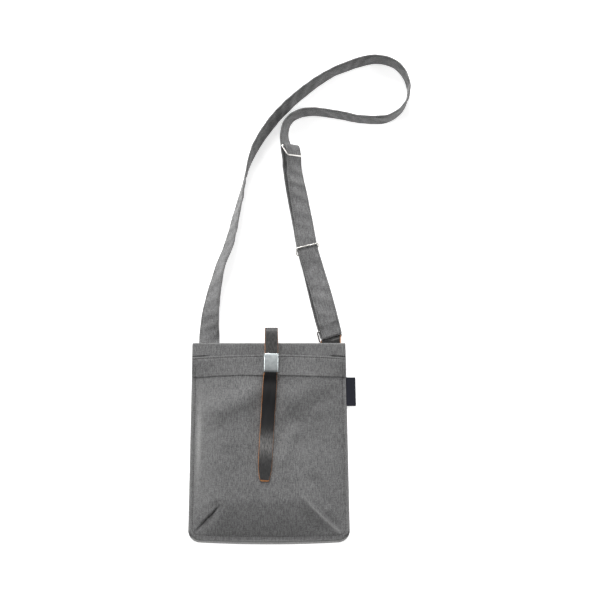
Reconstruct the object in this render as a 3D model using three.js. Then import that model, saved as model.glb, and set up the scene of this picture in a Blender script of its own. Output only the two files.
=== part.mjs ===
// A flat cloth shoulder bag for tools, lying on its back with its strap spread out above it.
// Millimetres. X runs across the bag, Y from its bottom to its mouth, Z up from the surface it lies on.
// The origin is the middle of the back panel's underside.

import * as THREE from 'three';

// Driving dimensions
const gap = 0.3;
const bag = {
  topY: 122.5,
  bottomY: -122.8,
  topHalfWidth: 93,
  bottomHalfWidth: 98.6,
  cornerRadius: 14,
  bottomBow: 2.6,
  cloth: 1.6,
};
const backLift = { fromY: 76, toY: 106, height: 6 };
const front = {
  bottomY: -119.5,
  sideInset: 0.5,
  sideFlange: 4.2,
  bottomFlange: 5.7,
  lipSideY: 105.4,
  lipMiddleY: 109,
  hemSideY: 81.7,
  hemMiddleY: 84.8,
  hemExtra: 1.4,
  topZ: 22.5,
  lipZ: 17,
  topY: 20,
  bottomReach: 62,
  bottomPower: 2.3,
  leftPower: 5.2,
  rightPower: 3.8,
};
const strap = { halfWidth: 12.5, halfThick: 1.0, bottomLoop: 2.05, topFold: 1.15 };
const wire = { radius: 0.9, sides: 7, overStrap: 1.5, overWidth: 1.7, corner: 2.4 };
const leather = { thick: 2.0, tipY: -46.9, bendY: 141.2, tailY: 107 };
const keeper = { x: 2.4, y: 99.2, width: 18.8, length: 22.9, height: 4.8, sheet: 0.7, corner: 1.3 };
const ring = { x: 75.95, y: 125.9, z: 2.9, length: 13, halfWidth: 14.4, turn: THREE.MathUtils.degToRad(15.5) };
const tab = { halfWidth: 11.8, thick: 1.6, loop: 2.0, tailY: 110 };
const label = { lowY: 46, highY: 81, reach: 11, thick: 1.0, seamZ: 2.2, endZ: 0.6 };

// Creases and soft waves of the front panel: a ridge (+) or valley (-) along each line
const frontFolds = [
  { x0: -96, y0: -112, x1: -62, y1: -76, height: -4.2, width: 6 },
  { x0: -70, y0: -105, x1: -48, y1: -80, height: 1.6, width: 9 },
  { x0: 90, y0: -112, x1: 36, y1: -55, height: 2.6, width: 7 },
  { x0: 60, y0: -104, x1: 30, y1: -78, height: -1.6, width: 10 },
  { x0: -9, y0: 67, x1: -59, y1: 31, height: -1.5, width: 11 },
  { x0: -24, y0: 75, x1: -62, y1: 50, height: 1.2, width: 10 },
  { x0: 55, y0: 70, x1: 68, y1: 30, height: -1.7, width: 13 },
  { x0: -80, y0: -10, x1: -74, y1: -60, height: 1.0, width: 10 },
];

// The closure strap where it lies on the front panel: centre and half width at each height
const leatherRows = [
  { y: 76, x: 1.2, half: 8.5 },
  { y: 62, x: 0.4, half: 8.6 },
  { y: 40, x: -1.0, half: 8.6 },
  { y: 10, x: -2.8, half: 8.6 },
  { y: -14, x: -4.2, half: 8.6 },
  { y: -25, x: -4.6, half: 8.5 },
  { y: -38, x: -5.1, half: 7.3 },
  { y: -44, x: -5.25, half: 6.5 },
  { y: -46.9, x: -5.3, half: 4.8 },
];

// The shoulder strap's route: centre, lean of its width (degrees, right-hand edge high),
// lift off the surface, and distance to the second layer where there is one
const strapRoute = [
  { x: -73.0, y: 106, roll: 0, lift: 3.4, second: 0 },
  { x: -73.0, y: 116, roll: 0, lift: 3.4, second: 0 },
  { x: -73.0, y: 126, roll: 0, lift: 2.8, second: 0 },
  { x: -72.4, y: 145, roll: 24, lift: 0.6, second: 0 },
  { x: -70.7, y: 164, roll: 37, lift: 0.05, second: 0 },
  { x: -67.6, y: 182, roll: 48, lift: 0.05, second: 0 },
  { x: -63.7, y: 200, roll: 58, lift: 0.05, second: 0 },
  { x: -57.6, y: 222, roll: 66, lift: 0.05, second: 0 },
  { x: -50.2, y: 242, roll: 69, lift: 0.05, second: 0 },
  { x: -45.0, y: 261, roll: 72, lift: 0.05, second: 0 },
  { x: -39.2, y: 284, roll: 76, lift: 0.05, second: 0 },
  { x: -33.1, y: 305, roll: 82, lift: 0.05, second: 0 },
  { x: -28.4, y: 327, roll: 90, lift: 0.05, second: 0 },
  { x: -23.3, y: 346, roll: 100, lift: 0.05, second: 0 },
  { x: -15.2, y: 365, roll: 110, lift: 0.05, second: 0 },
  { x: -3.7, y: 383, roll: 115, lift: 0.05, second: 0 },
  { x: 9.3, y: 399.7, roll: 117, lift: 0.05, second: 0 },
  { x: 22.9, y: 413.7, roll: 117, lift: 0.05, second: 0 },
  { x: 36.6, y: 426, roll: 116, lift: 0.05, second: 0 },
  { x: 51.2, y: 437.4, roll: 115, lift: 0.05, second: 0 },
  { x: 66.0, y: 447.5, roll: 113, lift: 0.05, second: 0 },
  { x: 81.1, y: 455.7, roll: 112, lift: 0.05, second: 0 },
  { x: 96.5, y: 461.8, roll: 113, lift: 0.05, second: 0 },
  { x: 111.5, y: 467, roll: 114, lift: 0.05, second: 0 },
  { x: 126.2, y: 469.9, roll: 113, lift: 0.05, second: 0 },
  { x: 140.8, y: 469.1, roll: 112, lift: 0.05, second: 0 },
  { x: 154.0, y: 464, roll: 110, lift: 0.05, second: 0 },
  { x: 164.6, y: 453.6, roll: 105, lift: 0.05, second: 0 },
  { x: 170.0, y: 440, roll: 99, lift: 0.05, second: 0 },
  { x: 170.5, y: 427, roll: 93, lift: 0.05, second: 0 },
  { x: 166.5, y: 416, roll: 86, lift: 0.05, second: 0 },
  { x: 158.5, y: 405.5, roll: 78, lift: 0.05, second: 0 },
  { x: 146.0, y: 398, roll: 72, lift: 0.05, second: 0 },
  { x: 129.9, y: 396, roll: 70, lift: 0.05, second: 0 },
  { x: 111.5, y: 397, roll: 71, lift: 0.05, second: 0 },
  { x: 93.2, y: 400.5, roll: 70, lift: 0.05, second: 0 },
  { x: 74.7, y: 404, roll: 70, lift: 0.05, second: 0 },
  { x: 56.4, y: 406, roll: 69, lift: 0.05, second: 0 },
  { x: 41.9, y: 405, roll: 68, lift: 0.05, second: 0 },
  { x: 29.5, y: 400, roll: 68, lift: 0.2, second: 0 },
  { x: 22.0, y: 391.5, roll: 69, lift: 0.8, second: 0 },
  { x: 19.0, y: 381.6, roll: 69, lift: 1.8, second: 0 },
  { x: 19.0, y: 372, roll: 66, lift: 2.6, second: 0 },
  { x: 21.0, y: 362.5, roll: 60, lift: 2.9, second: 8.8 },
  { x: 24.7, y: 348.5, roll: 54, lift: 2.6, second: 7.6 },
  { x: 27.0, y: 333, roll: 48, lift: 1.2, second: 6.4 },
  { x: 33.9, y: 303, roll: 36, lift: 0.3, second: 4.5 },
  { x: 40.6, y: 272.6, roll: 26, lift: 1.2, second: 3.4 },
  { x: 45.5, y: 241, roll: 20, lift: 2.8, second: 3.0 },
  { x: 53.9, y: 212.5, roll: 10, lift: 1.2, second: 2.7 },
  { x: 62.5, y: 180, roll: 4, lift: 0.1, second: 2.7 },
  { x: 70.0, y: 151, roll: 0, lift: 0.05, second: 4.1 },
  { x: 72.7, y: 140, roll: 0, lift: 0.05, second: 4.1 },
  { x: 74.8, y: 132.1, roll: 0, lift: 0.05, second: 4.1 },
];
const secondLayerRow = strapRoute.findIndex((row) => row.second > 0);
const upperSlider = { frontY: 353.4, backY: 364.6 };
const lowerSlider = { frontY: 242, backY: 234 };

const colours = {
  cloth: 0x75767a,
  strapCloth: 0x77787b,
  leather: 0x2b2a2c,
  steel: 0xc9cbcc,
  wire: 0xdad9d6,
  label: 0x23252f,
};

const up = new THREE.Vector3(0, 0, 1);
const vector = (x, y, z) => new THREE.Vector3(x, y, z);
const { clamp, lerp, smoothstep, degToRad } = THREE.MathUtils;

function material(color, roughness, metalness) {
  return new THREE.MeshStandardMaterial({ color, roughness, metalness });
}

function solid(points, index) {
  const geometry = new THREE.BufferGeometry();
  geometry.setAttribute('position', new THREE.Float32BufferAttribute(points.flatMap((p) => p.toArray()), 3));
  geometry.setIndex(index);
  geometry.computeVertexNormals();
  return geometry;
}

// A closed sheet between two grids of points, upper over lower, rows along Y and columns along X
function closedSheet(upper, lower) {
  const rows = upper.length;
  const columns = upper[0].length;
  const index = [];
  const top = (row, column) => row * columns + column;
  const under = (row, column) => (rows + row) * columns + column;
  const quad = (a, b, c, d) => index.push(a, b, c, a, c, d);
  for (let row = 0; row < rows - 1; row += 1) {
    for (let column = 0; column < columns - 1; column += 1) {
      quad(top(row, column), top(row, column + 1), top(row + 1, column + 1), top(row + 1, column));
      quad(under(row, column), under(row + 1, column), under(row + 1, column + 1), under(row, column + 1));
    }
  }
  for (let column = 0; column < columns - 1; column += 1) {
    quad(under(0, column), under(0, column + 1), top(0, column + 1), top(0, column));
    const last = rows - 1;
    quad(top(last, column), top(last, column + 1), under(last, column + 1), under(last, column));
  }
  for (let row = 0; row < rows - 1; row += 1) {
    quad(under(row + 1, 0), under(row, 0), top(row, 0), top(row + 1, 0));
    const last = columns - 1;
    quad(under(row, last), under(row + 1, last), top(row + 1, last), top(row, last));
  }
  return solid([...upper.flat(), ...lower.flat()], index);
}

// A closed ribbon through frames, each with a centre, a half width vector and a half thickness vector
function ribbon(frames) {
  const points = [];
  const index = [];
  const quad = (a, b, c, d) => index.push(a, b, c, a, c, d);
  for (const { centre, wide, thick } of frames) {
    points.push(centre.clone().add(wide).add(thick));
    points.push(centre.clone().sub(wide).add(thick));
    points.push(centre.clone().sub(wide).sub(thick));
    points.push(centre.clone().add(wide).sub(thick));
  }
  for (let i = 0; i < frames.length - 1; i += 1) {
    for (let k = 0; k < 4; k += 1) {
      const next = (k + 1) % 4;
      quad(4 * i + k, 4 * i + 4 + k, 4 * i + 4 + next, 4 * i + next);
    }
  }
  const end = 4 * (frames.length - 1);
  quad(0, 1, 2, 3);
  quad(end + 3, end + 2, end + 1, end);
  return solid(points, index);
}

// One row of a table at a fractional place along it, every column on a smooth curve
function rowAt(table, place) {
  const last = table.length - 1;
  const k = clamp(Math.floor(place), 0, last - 1);
  const f = place - k;
  const row = {};
  for (const column of Object.keys(table[0])) {
    const [a, b, c, d] = [-1, 0, 1, 2].map((i) => table[clamp(k + i, 0, last)][column]);
    row[column] = b + 0.5 * f * (c - a + f * (2 * a - 5 * b + 4 * c - d + f * (3 * (b - c) + d - a)));
  }
  return row;
}

// Outline and surfaces of the two panels
function halfWidth(y) {
  return lerp(bag.bottomHalfWidth, bag.topHalfWidth, (y - bag.bottomY) / (bag.topY - bag.bottomY));
}

function cornerLoss(heightAboveBottom) {
  const left = bag.cornerRadius - Math.min(heightAboveBottom, bag.cornerRadius);
  return bag.cornerRadius - Math.sqrt(bag.cornerRadius ** 2 - left ** 2);
}

function bottomBow(x, y) {
  const nearBottom = clamp(1 - (y - bag.bottomY) / 60, 0, 1);
  return bag.bottomBow * (x / 90) ** 2 * nearBottom;
}

function backUnder(y) {
  return backLift.height * smoothstep(y, backLift.fromY, backLift.toY);
}

function backTop(y) {
  return backUnder(y) + bag.cloth;
}

function foldHeight(x, y) {
  let height = 0;
  for (const fold of frontFolds) {
    const dx = fold.x1 - fold.x0;
    const dy = fold.y1 - fold.y0;
    const along = clamp(((x - fold.x0) * dx + (y - fold.y0) * dy) / (dx * dx + dy * dy), 0, 1);
    const away = Math.hypot(x - fold.x0 - along * dx, y - fold.y0 - along * dy);
    height += fold.height * Math.exp(-((away / fold.width) ** 2));
  }
  return height;
}

// Height of the front panel's outer face, without the hem band
function frontFace(x, y) {
  const flange = backTop(y) + gap + bag.cloth;
  const reach = halfWidth(y) - front.sideInset - front.sideFlange;
  const across = clamp(Math.abs(x) / reach, 0, 1);
  const sideRise = 1 - across ** (x < 0 ? front.leftPower : front.rightPower);
  const upward = clamp((y - bottomBow(x, y) - front.bottomY - front.bottomFlange) / front.bottomReach, 0, 1);
  const bottomRise = 1 - (1 - upward) ** front.bottomPower;
  const middleZ = lerp(front.topZ, front.lipZ, smoothstep(y, front.topY, front.lipMiddleY));
  const inside = sideRise * bottomRise;
  return lerp(flange, middleZ, inside) + foldHeight(x, y) * Math.sqrt(inside);
}

function hemY(x) {
  return lerp(front.hemMiddleY, front.hemSideY, (x / halfWidth(front.hemSideY)) ** 2);
}

function lipY(x) {
  return lerp(front.lipMiddleY, front.lipSideY, (x / halfWidth(front.lipSideY)) ** 2);
}

function frontNormal(x, y) {
  const step = 0.5;
  const slopeX = (frontFace(x + step, y) - frontFace(x - step, y)) / (2 * step);
  const slopeY = (frontFace(x, y + step) - frontFace(x, y - step)) / (2 * step);
  return vector(-slopeX, -slopeY, 1).normalize();
}

function makeBackPanel() {
  const aboveBottom = [0, 1.1, 4.1, 8.6, 14, 40, 80, 120, 160, 198];
  const rampRows = [203, 209, 215, 221, 227, 230];
  const heights = [...aboveBottom, ...rampRows, bag.topY - bag.bottomY];
  const columns = 16;
  const grid = (z) => heights.map((height) => {
    const y = bag.bottomY + height;
    const half = halfWidth(y) - cornerLoss(height);
    return Array.from({ length: columns + 1 }, (_, column) => {
      const x = half * (2 * column / columns - 1);
      return vector(x, y + bottomBow(x, y), z(y));
    });
  });
  return closedSheet(grid(backTop), grid(backUnder));
}

function frontColumns(half) {
  const fromEdge = [0, 4.2, 5.6, 8.5, 12.5, 18, 25, 33];
  const inner = half - fromEdge.at(-1);
  const innerSteps = 13;
  const left = fromEdge.map((step) => step - half);
  const middle = Array.from({ length: innerSteps - 1 }, (_, i) => inner * (2 * (i + 1) / innerSteps - 1));
  const right = fromEdge.map((step) => half - step).reverse();
  return [...left, ...middle, ...right];
}

// The front panel's rows are heights in its body, then a short step up on to the hem band, then the band
function makeFrontPanel() {
  const bodyHeights = [0, 1.1, 3.4, 5.7, 9, 14, 20, 27, 35, 44, 54, 66, 80, 95, 110, 125, 140, 155, 170, 184, 195];
  const hemTop = front.hemMiddleY - front.bottomY;
  const rows = bodyHeights.map((height) => ({ share: height / hemTop, hem: false }));
  rows.push({ share: 1, hem: false });
  const bandRows = [0.03, 0.3, 0.65, 1];
  for (const share of bandRows) {
    rows.push({ share, hem: true });
  }
  const upper = [];
  const lower = [];
  for (const { share, hem } of rows) {
    const flatY = hem ? lerp(front.hemSideY, front.lipSideY, share) : front.bottomY + share * hemTop;
    const half = halfWidth(flatY) - front.sideInset - cornerLoss(flatY - front.bottomY);
    const thick = bag.cloth;
    const extra = hem ? front.hemExtra : 0;
    const points = frontColumns(half).map((x) => {
      const low = front.bottomY + bottomBow(x, front.bottomY);
      const y = hem ? lerp(hemY(x), lipY(x), share) : lerp(low, hemY(x), share);
      return { base: vector(x, y, frontFace(x, y)), normal: frontNormal(x, y) };
    });
    upper.push(points.map(({ base, normal }) => base.clone().addScaledVector(normal, extra)));
    lower.push(points.map(({ base, normal }) => base.clone().addScaledVector(normal, -thick)));
  }
  return closedSheet(upper, lower);
}

// The closure strap: tail behind the back panel, bend over the mouth, through the keeper, down the front
function keeperFloor() {
  const ends = [-0.5, 0, 0.5].map((share) => keeper.y + share * keeper.length);
  const sides = [-0.5, 0, 0.5].map((share) => keeper.x + share * keeper.width);
  const heights = ends.flatMap((y) => sides.map((x) => frontFace(x, y)));
  return Math.max(...heights) + front.hemExtra + gap;
}

function leatherFrames() {
  const halfThick = leather.thick / 2;
  const tailZ = backLift.height - gap - halfThick;
  const keeperZ = keeperFloor() + keeper.height / 2;
  const bendCentreY = bag.topY + 1.5;
  const bendReach = leather.bendY - halfThick - bendCentreY;
  const rows = [
    { x: 2.6, y: leather.tailY, z: tailZ, half: 7.6 },
    { x: 2.7, y: 115, z: tailZ, half: 7.6 },
  ];
  for (let turn = -90; turn <= 90; turn += 22.5) {
    const angle = degToRad(turn);
    const y = bendCentreY + bendReach * Math.cos(angle);
    const z = lerp(tailZ, keeperZ, (1 + Math.sin(angle)) / 2);
    rows.push({ x: 2.9, y, z, half: 7.6 });
  }
  rows.push({ x: 2.7, y: keeper.y + keeper.length / 2, z: keeperZ, half: 7.8 });
  rows.push({ x: keeper.x, y: keeper.y, z: keeperZ, half: 8.2 });
  rows.push({ x: 2.0, y: keeper.y - keeper.length / 2, z: keeperZ, half: 8.0 });
  for (const { x, y, half } of leatherRows) {
    const highest = Math.max(frontFace(x - half, y), frontFace(x, y), frontFace(x + half, y));
    rows.push({ x, y, z: highest + 2 * gap + halfThick, half });
  }
  const frames = [];
  const steps = 2 * (rows.length - 1);
  for (let i = 0; i <= steps; i += 1) {
    const here = rowAt(rows, i / 2);
    const ahead = rowAt(rows, Math.min(i / 2 + 0.05, rows.length - 1));
    const behind = rowAt(rows, Math.max(i / 2 - 0.05, 0));
    const along = vector(ahead.x - behind.x, ahead.y - behind.y, ahead.z - behind.z).normalize();
    const across = vector(1, 0, 0).addScaledVector(along, -along.x).normalize();
    const normal = across.clone().cross(along);
    frames.push({
      centre: vector(here.x, here.y, here.z),
      wide: across.multiplyScalar(here.half),
      thick: normal.multiplyScalar(halfThick),
    });
  }
  return frames;
}

function makeKeeper() {
  const roundedRectangle = (path, width, height, radius) => {
    const w = width / 2;
    const h = height / 2;
    path.moveTo(w - radius, -h);
    path.absarc(w - radius, -h + radius, radius, -Math.PI / 2, 0);
    path.absarc(w - radius, h - radius, radius, 0, Math.PI / 2);
    path.absarc(-w + radius, h - radius, radius, Math.PI / 2, Math.PI);
    path.absarc(-w + radius, -h + radius, radius, Math.PI, 1.5 * Math.PI);
    path.closePath();
    return path;
  };
  const sleeve = roundedRectangle(new THREE.Shape(), keeper.width, keeper.height, keeper.corner);
  const inside = { width: keeper.width - 2 * keeper.sheet, height: keeper.height - 2 * keeper.sheet };
  const hole = roundedRectangle(new THREE.Path(), inside.width, inside.height, keeper.corner - keeper.sheet);
  sleeve.holes.push(hole);
  const depth = keeper.length;
  const geometry = new THREE.ExtrudeGeometry(sleeve, { depth, bevelEnabled: false, curveSegments: 4 });
  return geometry.translate(0, 0, -depth / 2).rotateX(Math.PI / 2);
}

// Frames of the shoulder strap
function strapFrame(place) {
  const here = rowAt(strapRoute, place);
  const last = strapRoute.length - 1;
  const ahead = rowAt(strapRoute, Math.min(place + 0.05, last));
  const behind = rowAt(strapRoute, Math.max(place - 0.05, 0));
  const along = vector(ahead.x - behind.x, ahead.y - behind.y, 0).normalize();
  const right = along.clone().cross(up);
  const roll = degToRad(here.roll);
  const across = right.multiplyScalar(Math.cos(roll)).addScaledVector(up, Math.sin(roll));
  const normal = across.clone().cross(along);
  const lowest = strap.halfWidth * Math.abs(across.z) + strap.halfThick * Math.abs(normal.z);
  const centre = vector(here.x, here.y, lowest + here.lift);
  const second = centre.clone().addScaledVector(normal, here.second);
  return { centre, second, across, normal, along };
}

function strapSection(centre, across, normal) {
  const wide = across.clone().multiplyScalar(strap.halfWidth);
  const thick = normal.clone().multiplyScalar(strap.halfThick);
  return { centre, wide, thick };
}

// Sections round a fold, from the layer on one side of its axis to the layer on the other side
function foldSections(axis, from, along, across, radius) {
  const sections = [];
  for (let turn = 30; turn < 180; turn += 30) {
    const angle = degToRad(turn);
    const out = from.clone().multiplyScalar(Math.cos(angle)).addScaledVector(along, Math.sin(angle));
    const centre = axis.clone().addScaledVector(out, radius);
    sections.push(strapSection(centre, across, out.negate()));
  }
  return sections;
}

function makeShoulderStrap() {
  const last = strapRoute.length - 1;
  const sections = [];
  for (let place = 0; place <= last; place += 0.5) {
    const frame = strapFrame(place);
    sections.push(strapSection(frame.centre, frame.across, frame.normal));
  }
  const end = strapFrame(last);
  const ringAxis = end.centre.clone().add(end.second).multiplyScalar(0.5);
  const outward = end.normal.clone().negate();
  sections.push(...foldSections(ringAxis, outward, end.along, end.across, strap.bottomLoop));
  for (let place = last; place >= secondLayerRow; place -= 0.5) {
    const frame = strapFrame(place);
    sections.push(strapSection(frame.second, frame.across, frame.normal.negate()));
  }
  const top = strapFrame(secondLayerRow);
  const topAxis = top.second.clone().addScaledVector(top.normal, -strap.topFold);
  const back = top.along.clone().negate();
  sections.push(...foldSections(topAxis, top.normal, back, top.across, strap.topFold));
  for (const place of [0, 0.5, 1, 1.2]) {
    const frame = strapFrame(secondLayerRow + place);
    const centre = frame.second.clone().addScaledVector(frame.normal, -2 * strap.topFold);
    sections.push(strapSection(centre, frame.across, frame.normal));
  }
  return ribbon(sections);
}

// The place along the doubled part of the strap where it passes a given Y
function placeAtY(y) {
  const last = strapRoute.length - 1;
  let place = secondLayerRow;
  while (place < last && rowAt(strapRoute, place).y > y) {
    place += 0.01;
  }
  return place;
}

// A closed wire through two bars, each with a centre and a half length vector, with rounded corners
function wireLoop(barA, barB) {
  const corners = [
    barA.centre.clone().add(barA.half),
    barB.centre.clone().add(barB.half),
    barB.centre.clone().sub(barB.half),
    barA.centre.clone().sub(barA.half),
  ];
  const path = new THREE.CurvePath();
  const round = corners.map((corner, i) => {
    const before = corners[(i + 3) % 4];
    const after = corners[(i + 1) % 4];
    const start = corner.clone().add(before.clone().sub(corner).setLength(wire.corner));
    const finish = corner.clone().add(after.clone().sub(corner).setLength(wire.corner));
    return { start, corner, finish };
  });
  round.forEach(({ start, corner, finish }, i) => {
    path.add(new THREE.QuadraticBezierCurve3(start, corner, finish));
    path.add(new THREE.LineCurve3(finish, round[(i + 1) % 4].start));
  });
  return new THREE.TubeGeometry(path, 56, wire.radius, wire.sides, true);
}

function makeSlider({ frontY, backY }) {
  const ahead = strapFrame(placeAtY(frontY));
  const behind = strapFrame(placeAtY(backY));
  const clear = strap.halfThick + wire.overStrap;
  const halfLength = strap.halfWidth + wire.overWidth;
  const frontBar = {
    centre: ahead.second.clone().addScaledVector(ahead.normal, clear),
    half: ahead.across.clone().multiplyScalar(halfLength),
  };
  const backBar = {
    centre: behind.centre.clone().addScaledVector(behind.normal, -clear),
    half: behind.across.clone().multiplyScalar(halfLength),
  };
  return wireLoop(frontBar, backBar);
}

function makeRing() {
  const across = vector(Math.cos(ring.turn), Math.sin(ring.turn), 0).multiplyScalar(ring.halfWidth);
  const along = vector(-Math.sin(ring.turn), Math.cos(ring.turn), 0);
  const tabBar = vector(ring.x, ring.y, ring.z);
  const strapBar = tabBar.clone().addScaledVector(along, ring.length);
  strapBar.z = strap.bottomLoop + strap.halfThick + 0.05;
  return wireLoop({ centre: tabBar, half: across }, { centre: strapBar, half: across });
}

// The leather tab: in along the surface, round the ring's bar and back under the panel, its fold slanted
function makeTab() {
  const halfThick = tab.thick / 2;
  const upperZ = ring.z + tab.loop;
  const lowerZ = ring.z - tab.loop;
  const sewnZ = upperZ - tab.thick - gap;
  const rows = [
    { y: tab.tailY, z: sewnZ },
    { y: 114, z: sewnZ },
    { y: 119.5, z: lerp(lowerZ, sewnZ, 0.45) },
    { y: ring.y - 1.5, z: lowerZ },
  ];
  for (let turn = 0; turn <= 180; turn += 30) {
    const angle = degToRad(turn);
    rows.push({ y: ring.y + tab.loop * Math.sin(angle), z: ring.z - tab.loop * Math.cos(angle) });
  }
  rows.push({ y: 118, z: upperZ });
  rows.push({ y: tab.tailY, z: upperZ });
  const wide = vector(1, Math.tan(ring.turn), 0).multiplyScalar(tab.halfWidth);
  const frames = rows.map((row, i) => {
    const before = rows[Math.max(i - 1, 0)];
    const after = rows[Math.min(i + 1, rows.length - 1)];
    const along = vector(0, after.y - before.y, after.z - before.z).normalize();
    const normal = vector(1, 0, 0).cross(along);
    return { centre: vector(ring.x, row.y, row.z), wide, thick: normal.multiplyScalar(halfThick) };
  });
  return ribbon(frames);
}

function makeLabel() {
  const rows = 4;
  const columns = 5;
  const grid = (side) => Array.from({ length: rows + 1 }, (_, row) => {
    const y = lerp(label.lowY, label.highY, row / rows);
    const seam = halfWidth(y) + gap;
    return Array.from({ length: columns + 1 }, (_, column) => {
      const out = column / columns;
      const z = lerp(label.seamZ + backUnder(y), label.endZ, smoothstep(out, 0, 0.8));
      return vector(seam + out * label.reach, y, z + side * label.thick / 2);
    });
  });
  return closedSheet(grid(1), grid(-1));
}

const bagGroup = new THREE.Group();

function addPiece(name, geometry, look) {
  const mesh = new THREE.Mesh(geometry, look);
  mesh.name = name;
  bagGroup.add(mesh);
  return mesh;
}

const clothLook = material(colours.cloth, 0.95, 0);
const strapLook = material(colours.strapCloth, 0.95, 0);
const leatherLook = material(colours.leather, 0.55, 0);
const wireLook = material(colours.wire, 0.25, 1);

addPiece('back_panel', makeBackPanel(), clothLook);
addPiece('front_panel', makeFrontPanel(), clothLook);
addPiece('leather_strap', ribbon(leatherFrames()), leatherLook);
addPiece('shoulder_strap', makeShoulderStrap(), strapLook);
addPiece('upper_slider', makeSlider(upperSlider), wireLook);
addPiece('lower_slider', makeSlider(lowerSlider), wireLook);
addPiece('strap_ring', makeRing(), wireLook);
addPiece('ring_tab', makeTab(), leatherLook);
addPiece('side_label', makeLabel(), material(colours.label, 0.9, 0));

const keeperMesh = addPiece('keeper', makeKeeper(), material(colours.steel, 0.35, 1));
keeperMesh.position.set(keeper.x, keeper.y, keeperFloor() + keeper.height / 2);

export default bagGroup;
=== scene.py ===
import math
import bpy
import numpy as np
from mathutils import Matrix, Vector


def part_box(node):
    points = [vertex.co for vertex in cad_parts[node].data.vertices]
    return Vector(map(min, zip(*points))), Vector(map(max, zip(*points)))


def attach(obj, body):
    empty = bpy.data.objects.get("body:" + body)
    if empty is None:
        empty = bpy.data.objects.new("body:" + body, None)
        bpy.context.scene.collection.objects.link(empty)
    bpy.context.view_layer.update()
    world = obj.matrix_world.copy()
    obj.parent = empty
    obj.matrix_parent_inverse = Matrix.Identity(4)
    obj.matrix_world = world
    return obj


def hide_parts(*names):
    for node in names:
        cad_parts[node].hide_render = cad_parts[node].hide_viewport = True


# Flat cloth shoulder bag for tools, lying on its back with its strap spread out above it.
# Metres, in the frame of the solids: X across the bag, Y from its bottom to its mouth, Z up.

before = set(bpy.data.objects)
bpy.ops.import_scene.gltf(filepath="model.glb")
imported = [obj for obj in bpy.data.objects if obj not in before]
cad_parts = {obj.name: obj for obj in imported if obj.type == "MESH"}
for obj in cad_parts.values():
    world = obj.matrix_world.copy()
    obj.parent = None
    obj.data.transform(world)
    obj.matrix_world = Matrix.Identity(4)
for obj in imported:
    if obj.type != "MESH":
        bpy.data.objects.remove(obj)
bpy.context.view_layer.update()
mm = 0.001
print("frame loaded,", len(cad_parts), "solids")


# camera and light

shot = {
    "frameWidth": 0.735,      # floor across the square picture
    "aim": (0.038, 0.1758),   # floor point in the picture's middle
    "height": 6.0,
    "sensor": 36.0,
}

studio = {
    "keyPlace": (-0.7, 5.4, 3.2),
    "keySize": 2.6,
    "keyPower": 413.0,
    "leftPlace": (-5.0, 0.4, 2.9),
    "rightPlace": (5.0, 0.6, 2.9),
    "sideSize": 2.4,
    "leftPower": 124.0,
    "rightPower": 120.0,
    "skyTop": 0.8,            # soft box over the camera
    "skyRim": 0.08,
    "skyFrom": 0.78,          # cosine of the angle from the box's middle where it starts to show
    "skyWay": (0.0, 0.26, 0.966),
    "floorColour": (0.93, 0.93, 0.93, 1.0),
    "floorRoughness": 0.85,
    "floorGlow": 0.62,        # lit from below, like a light table
    "floorSize": 30.0,
    "floorDrop": 0.1 * mm,    # just under the solids
}


def addCamera():
    data = bpy.data.cameras.new("shotCamera")
    data.sensor_width = shot["sensor"]
    data.lens = shot["sensor"] * shot["height"] / shot["frameWidth"]
    camera = bpy.data.objects.new("shotCamera", data)
    camera.location = (*shot["aim"], shot["height"])
    bpy.context.scene.collection.objects.link(camera)
    bpy.context.scene.camera = camera


def addAreaLight(name, place, size, power):
    data = bpy.data.lights.new(name, "AREA")
    data.shape = "DISK"
    data.size = size
    data.energy = power
    lamp = bpy.data.objects.new(name, data)
    lamp.location = place
    aim = bpy.data.objects["shotCamera"].location.copy()
    aim.z = 0
    lamp.rotation_euler = (aim - lamp.location).to_track_quat("-Z", "Y").to_euler()
    bpy.context.scene.collection.objects.link(lamp)


def addSky():
    world = bpy.data.worlds.new("studioSky")
    bpy.context.scene.world = world
    world.use_nodes = True
    tree = world.node_tree
    place = tree.nodes.new("ShaderNodeTexCoord")
    towards = tree.nodes.new("ShaderNodeVectorMath")
    towards.operation = "DOT_PRODUCT"
    towards.inputs[1].default_value = studio["skyWay"]
    tree.links.new(place.outputs["Generated"], towards.inputs[0])
    height = tree.nodes.new("ShaderNodeMapRange")
    height.interpolation_type = "SMOOTHSTEP"
    height.inputs["From Min"].default_value = studio["skyFrom"]
    height.inputs["To Min"].default_value = studio["skyRim"]
    height.inputs["To Max"].default_value = studio["skyTop"]
    tree.links.new(towards.outputs["Value"], height.inputs["Value"])
    tree.links.new(height.outputs[0], tree.nodes["Background"].inputs["Strength"])
    tree.nodes["Background"].inputs["Color"].default_value = (1.0, 1.0, 1.0, 1.0)


def addFloor():
    half = studio["floorSize"] / 2
    drop = -studio["floorDrop"]
    mesh = bpy.data.meshes.new("floor")
    corners = [(-half, -half, drop), (half, -half, drop), (half, half, drop), (-half, half, drop)]
    mesh.from_pydata(corners, [], [(0, 1, 2, 3)])
    look = bpy.data.materials.new("floorPaper")
    look.use_nodes = True
    shader = look.node_tree.nodes["Principled BSDF"]
    shader.inputs["Base Color"].default_value = studio["floorColour"]
    shader.inputs["Roughness"].default_value = studio["floorRoughness"]
    shader.inputs["Emission Color"].default_value = studio["floorColour"]
    shader.inputs["Emission Strength"].default_value = studio["floorGlow"]
    mesh.materials.append(look)
    floor = bpy.data.objects.new("floor", mesh)
    bpy.context.scene.collection.objects.link(floor)


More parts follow.
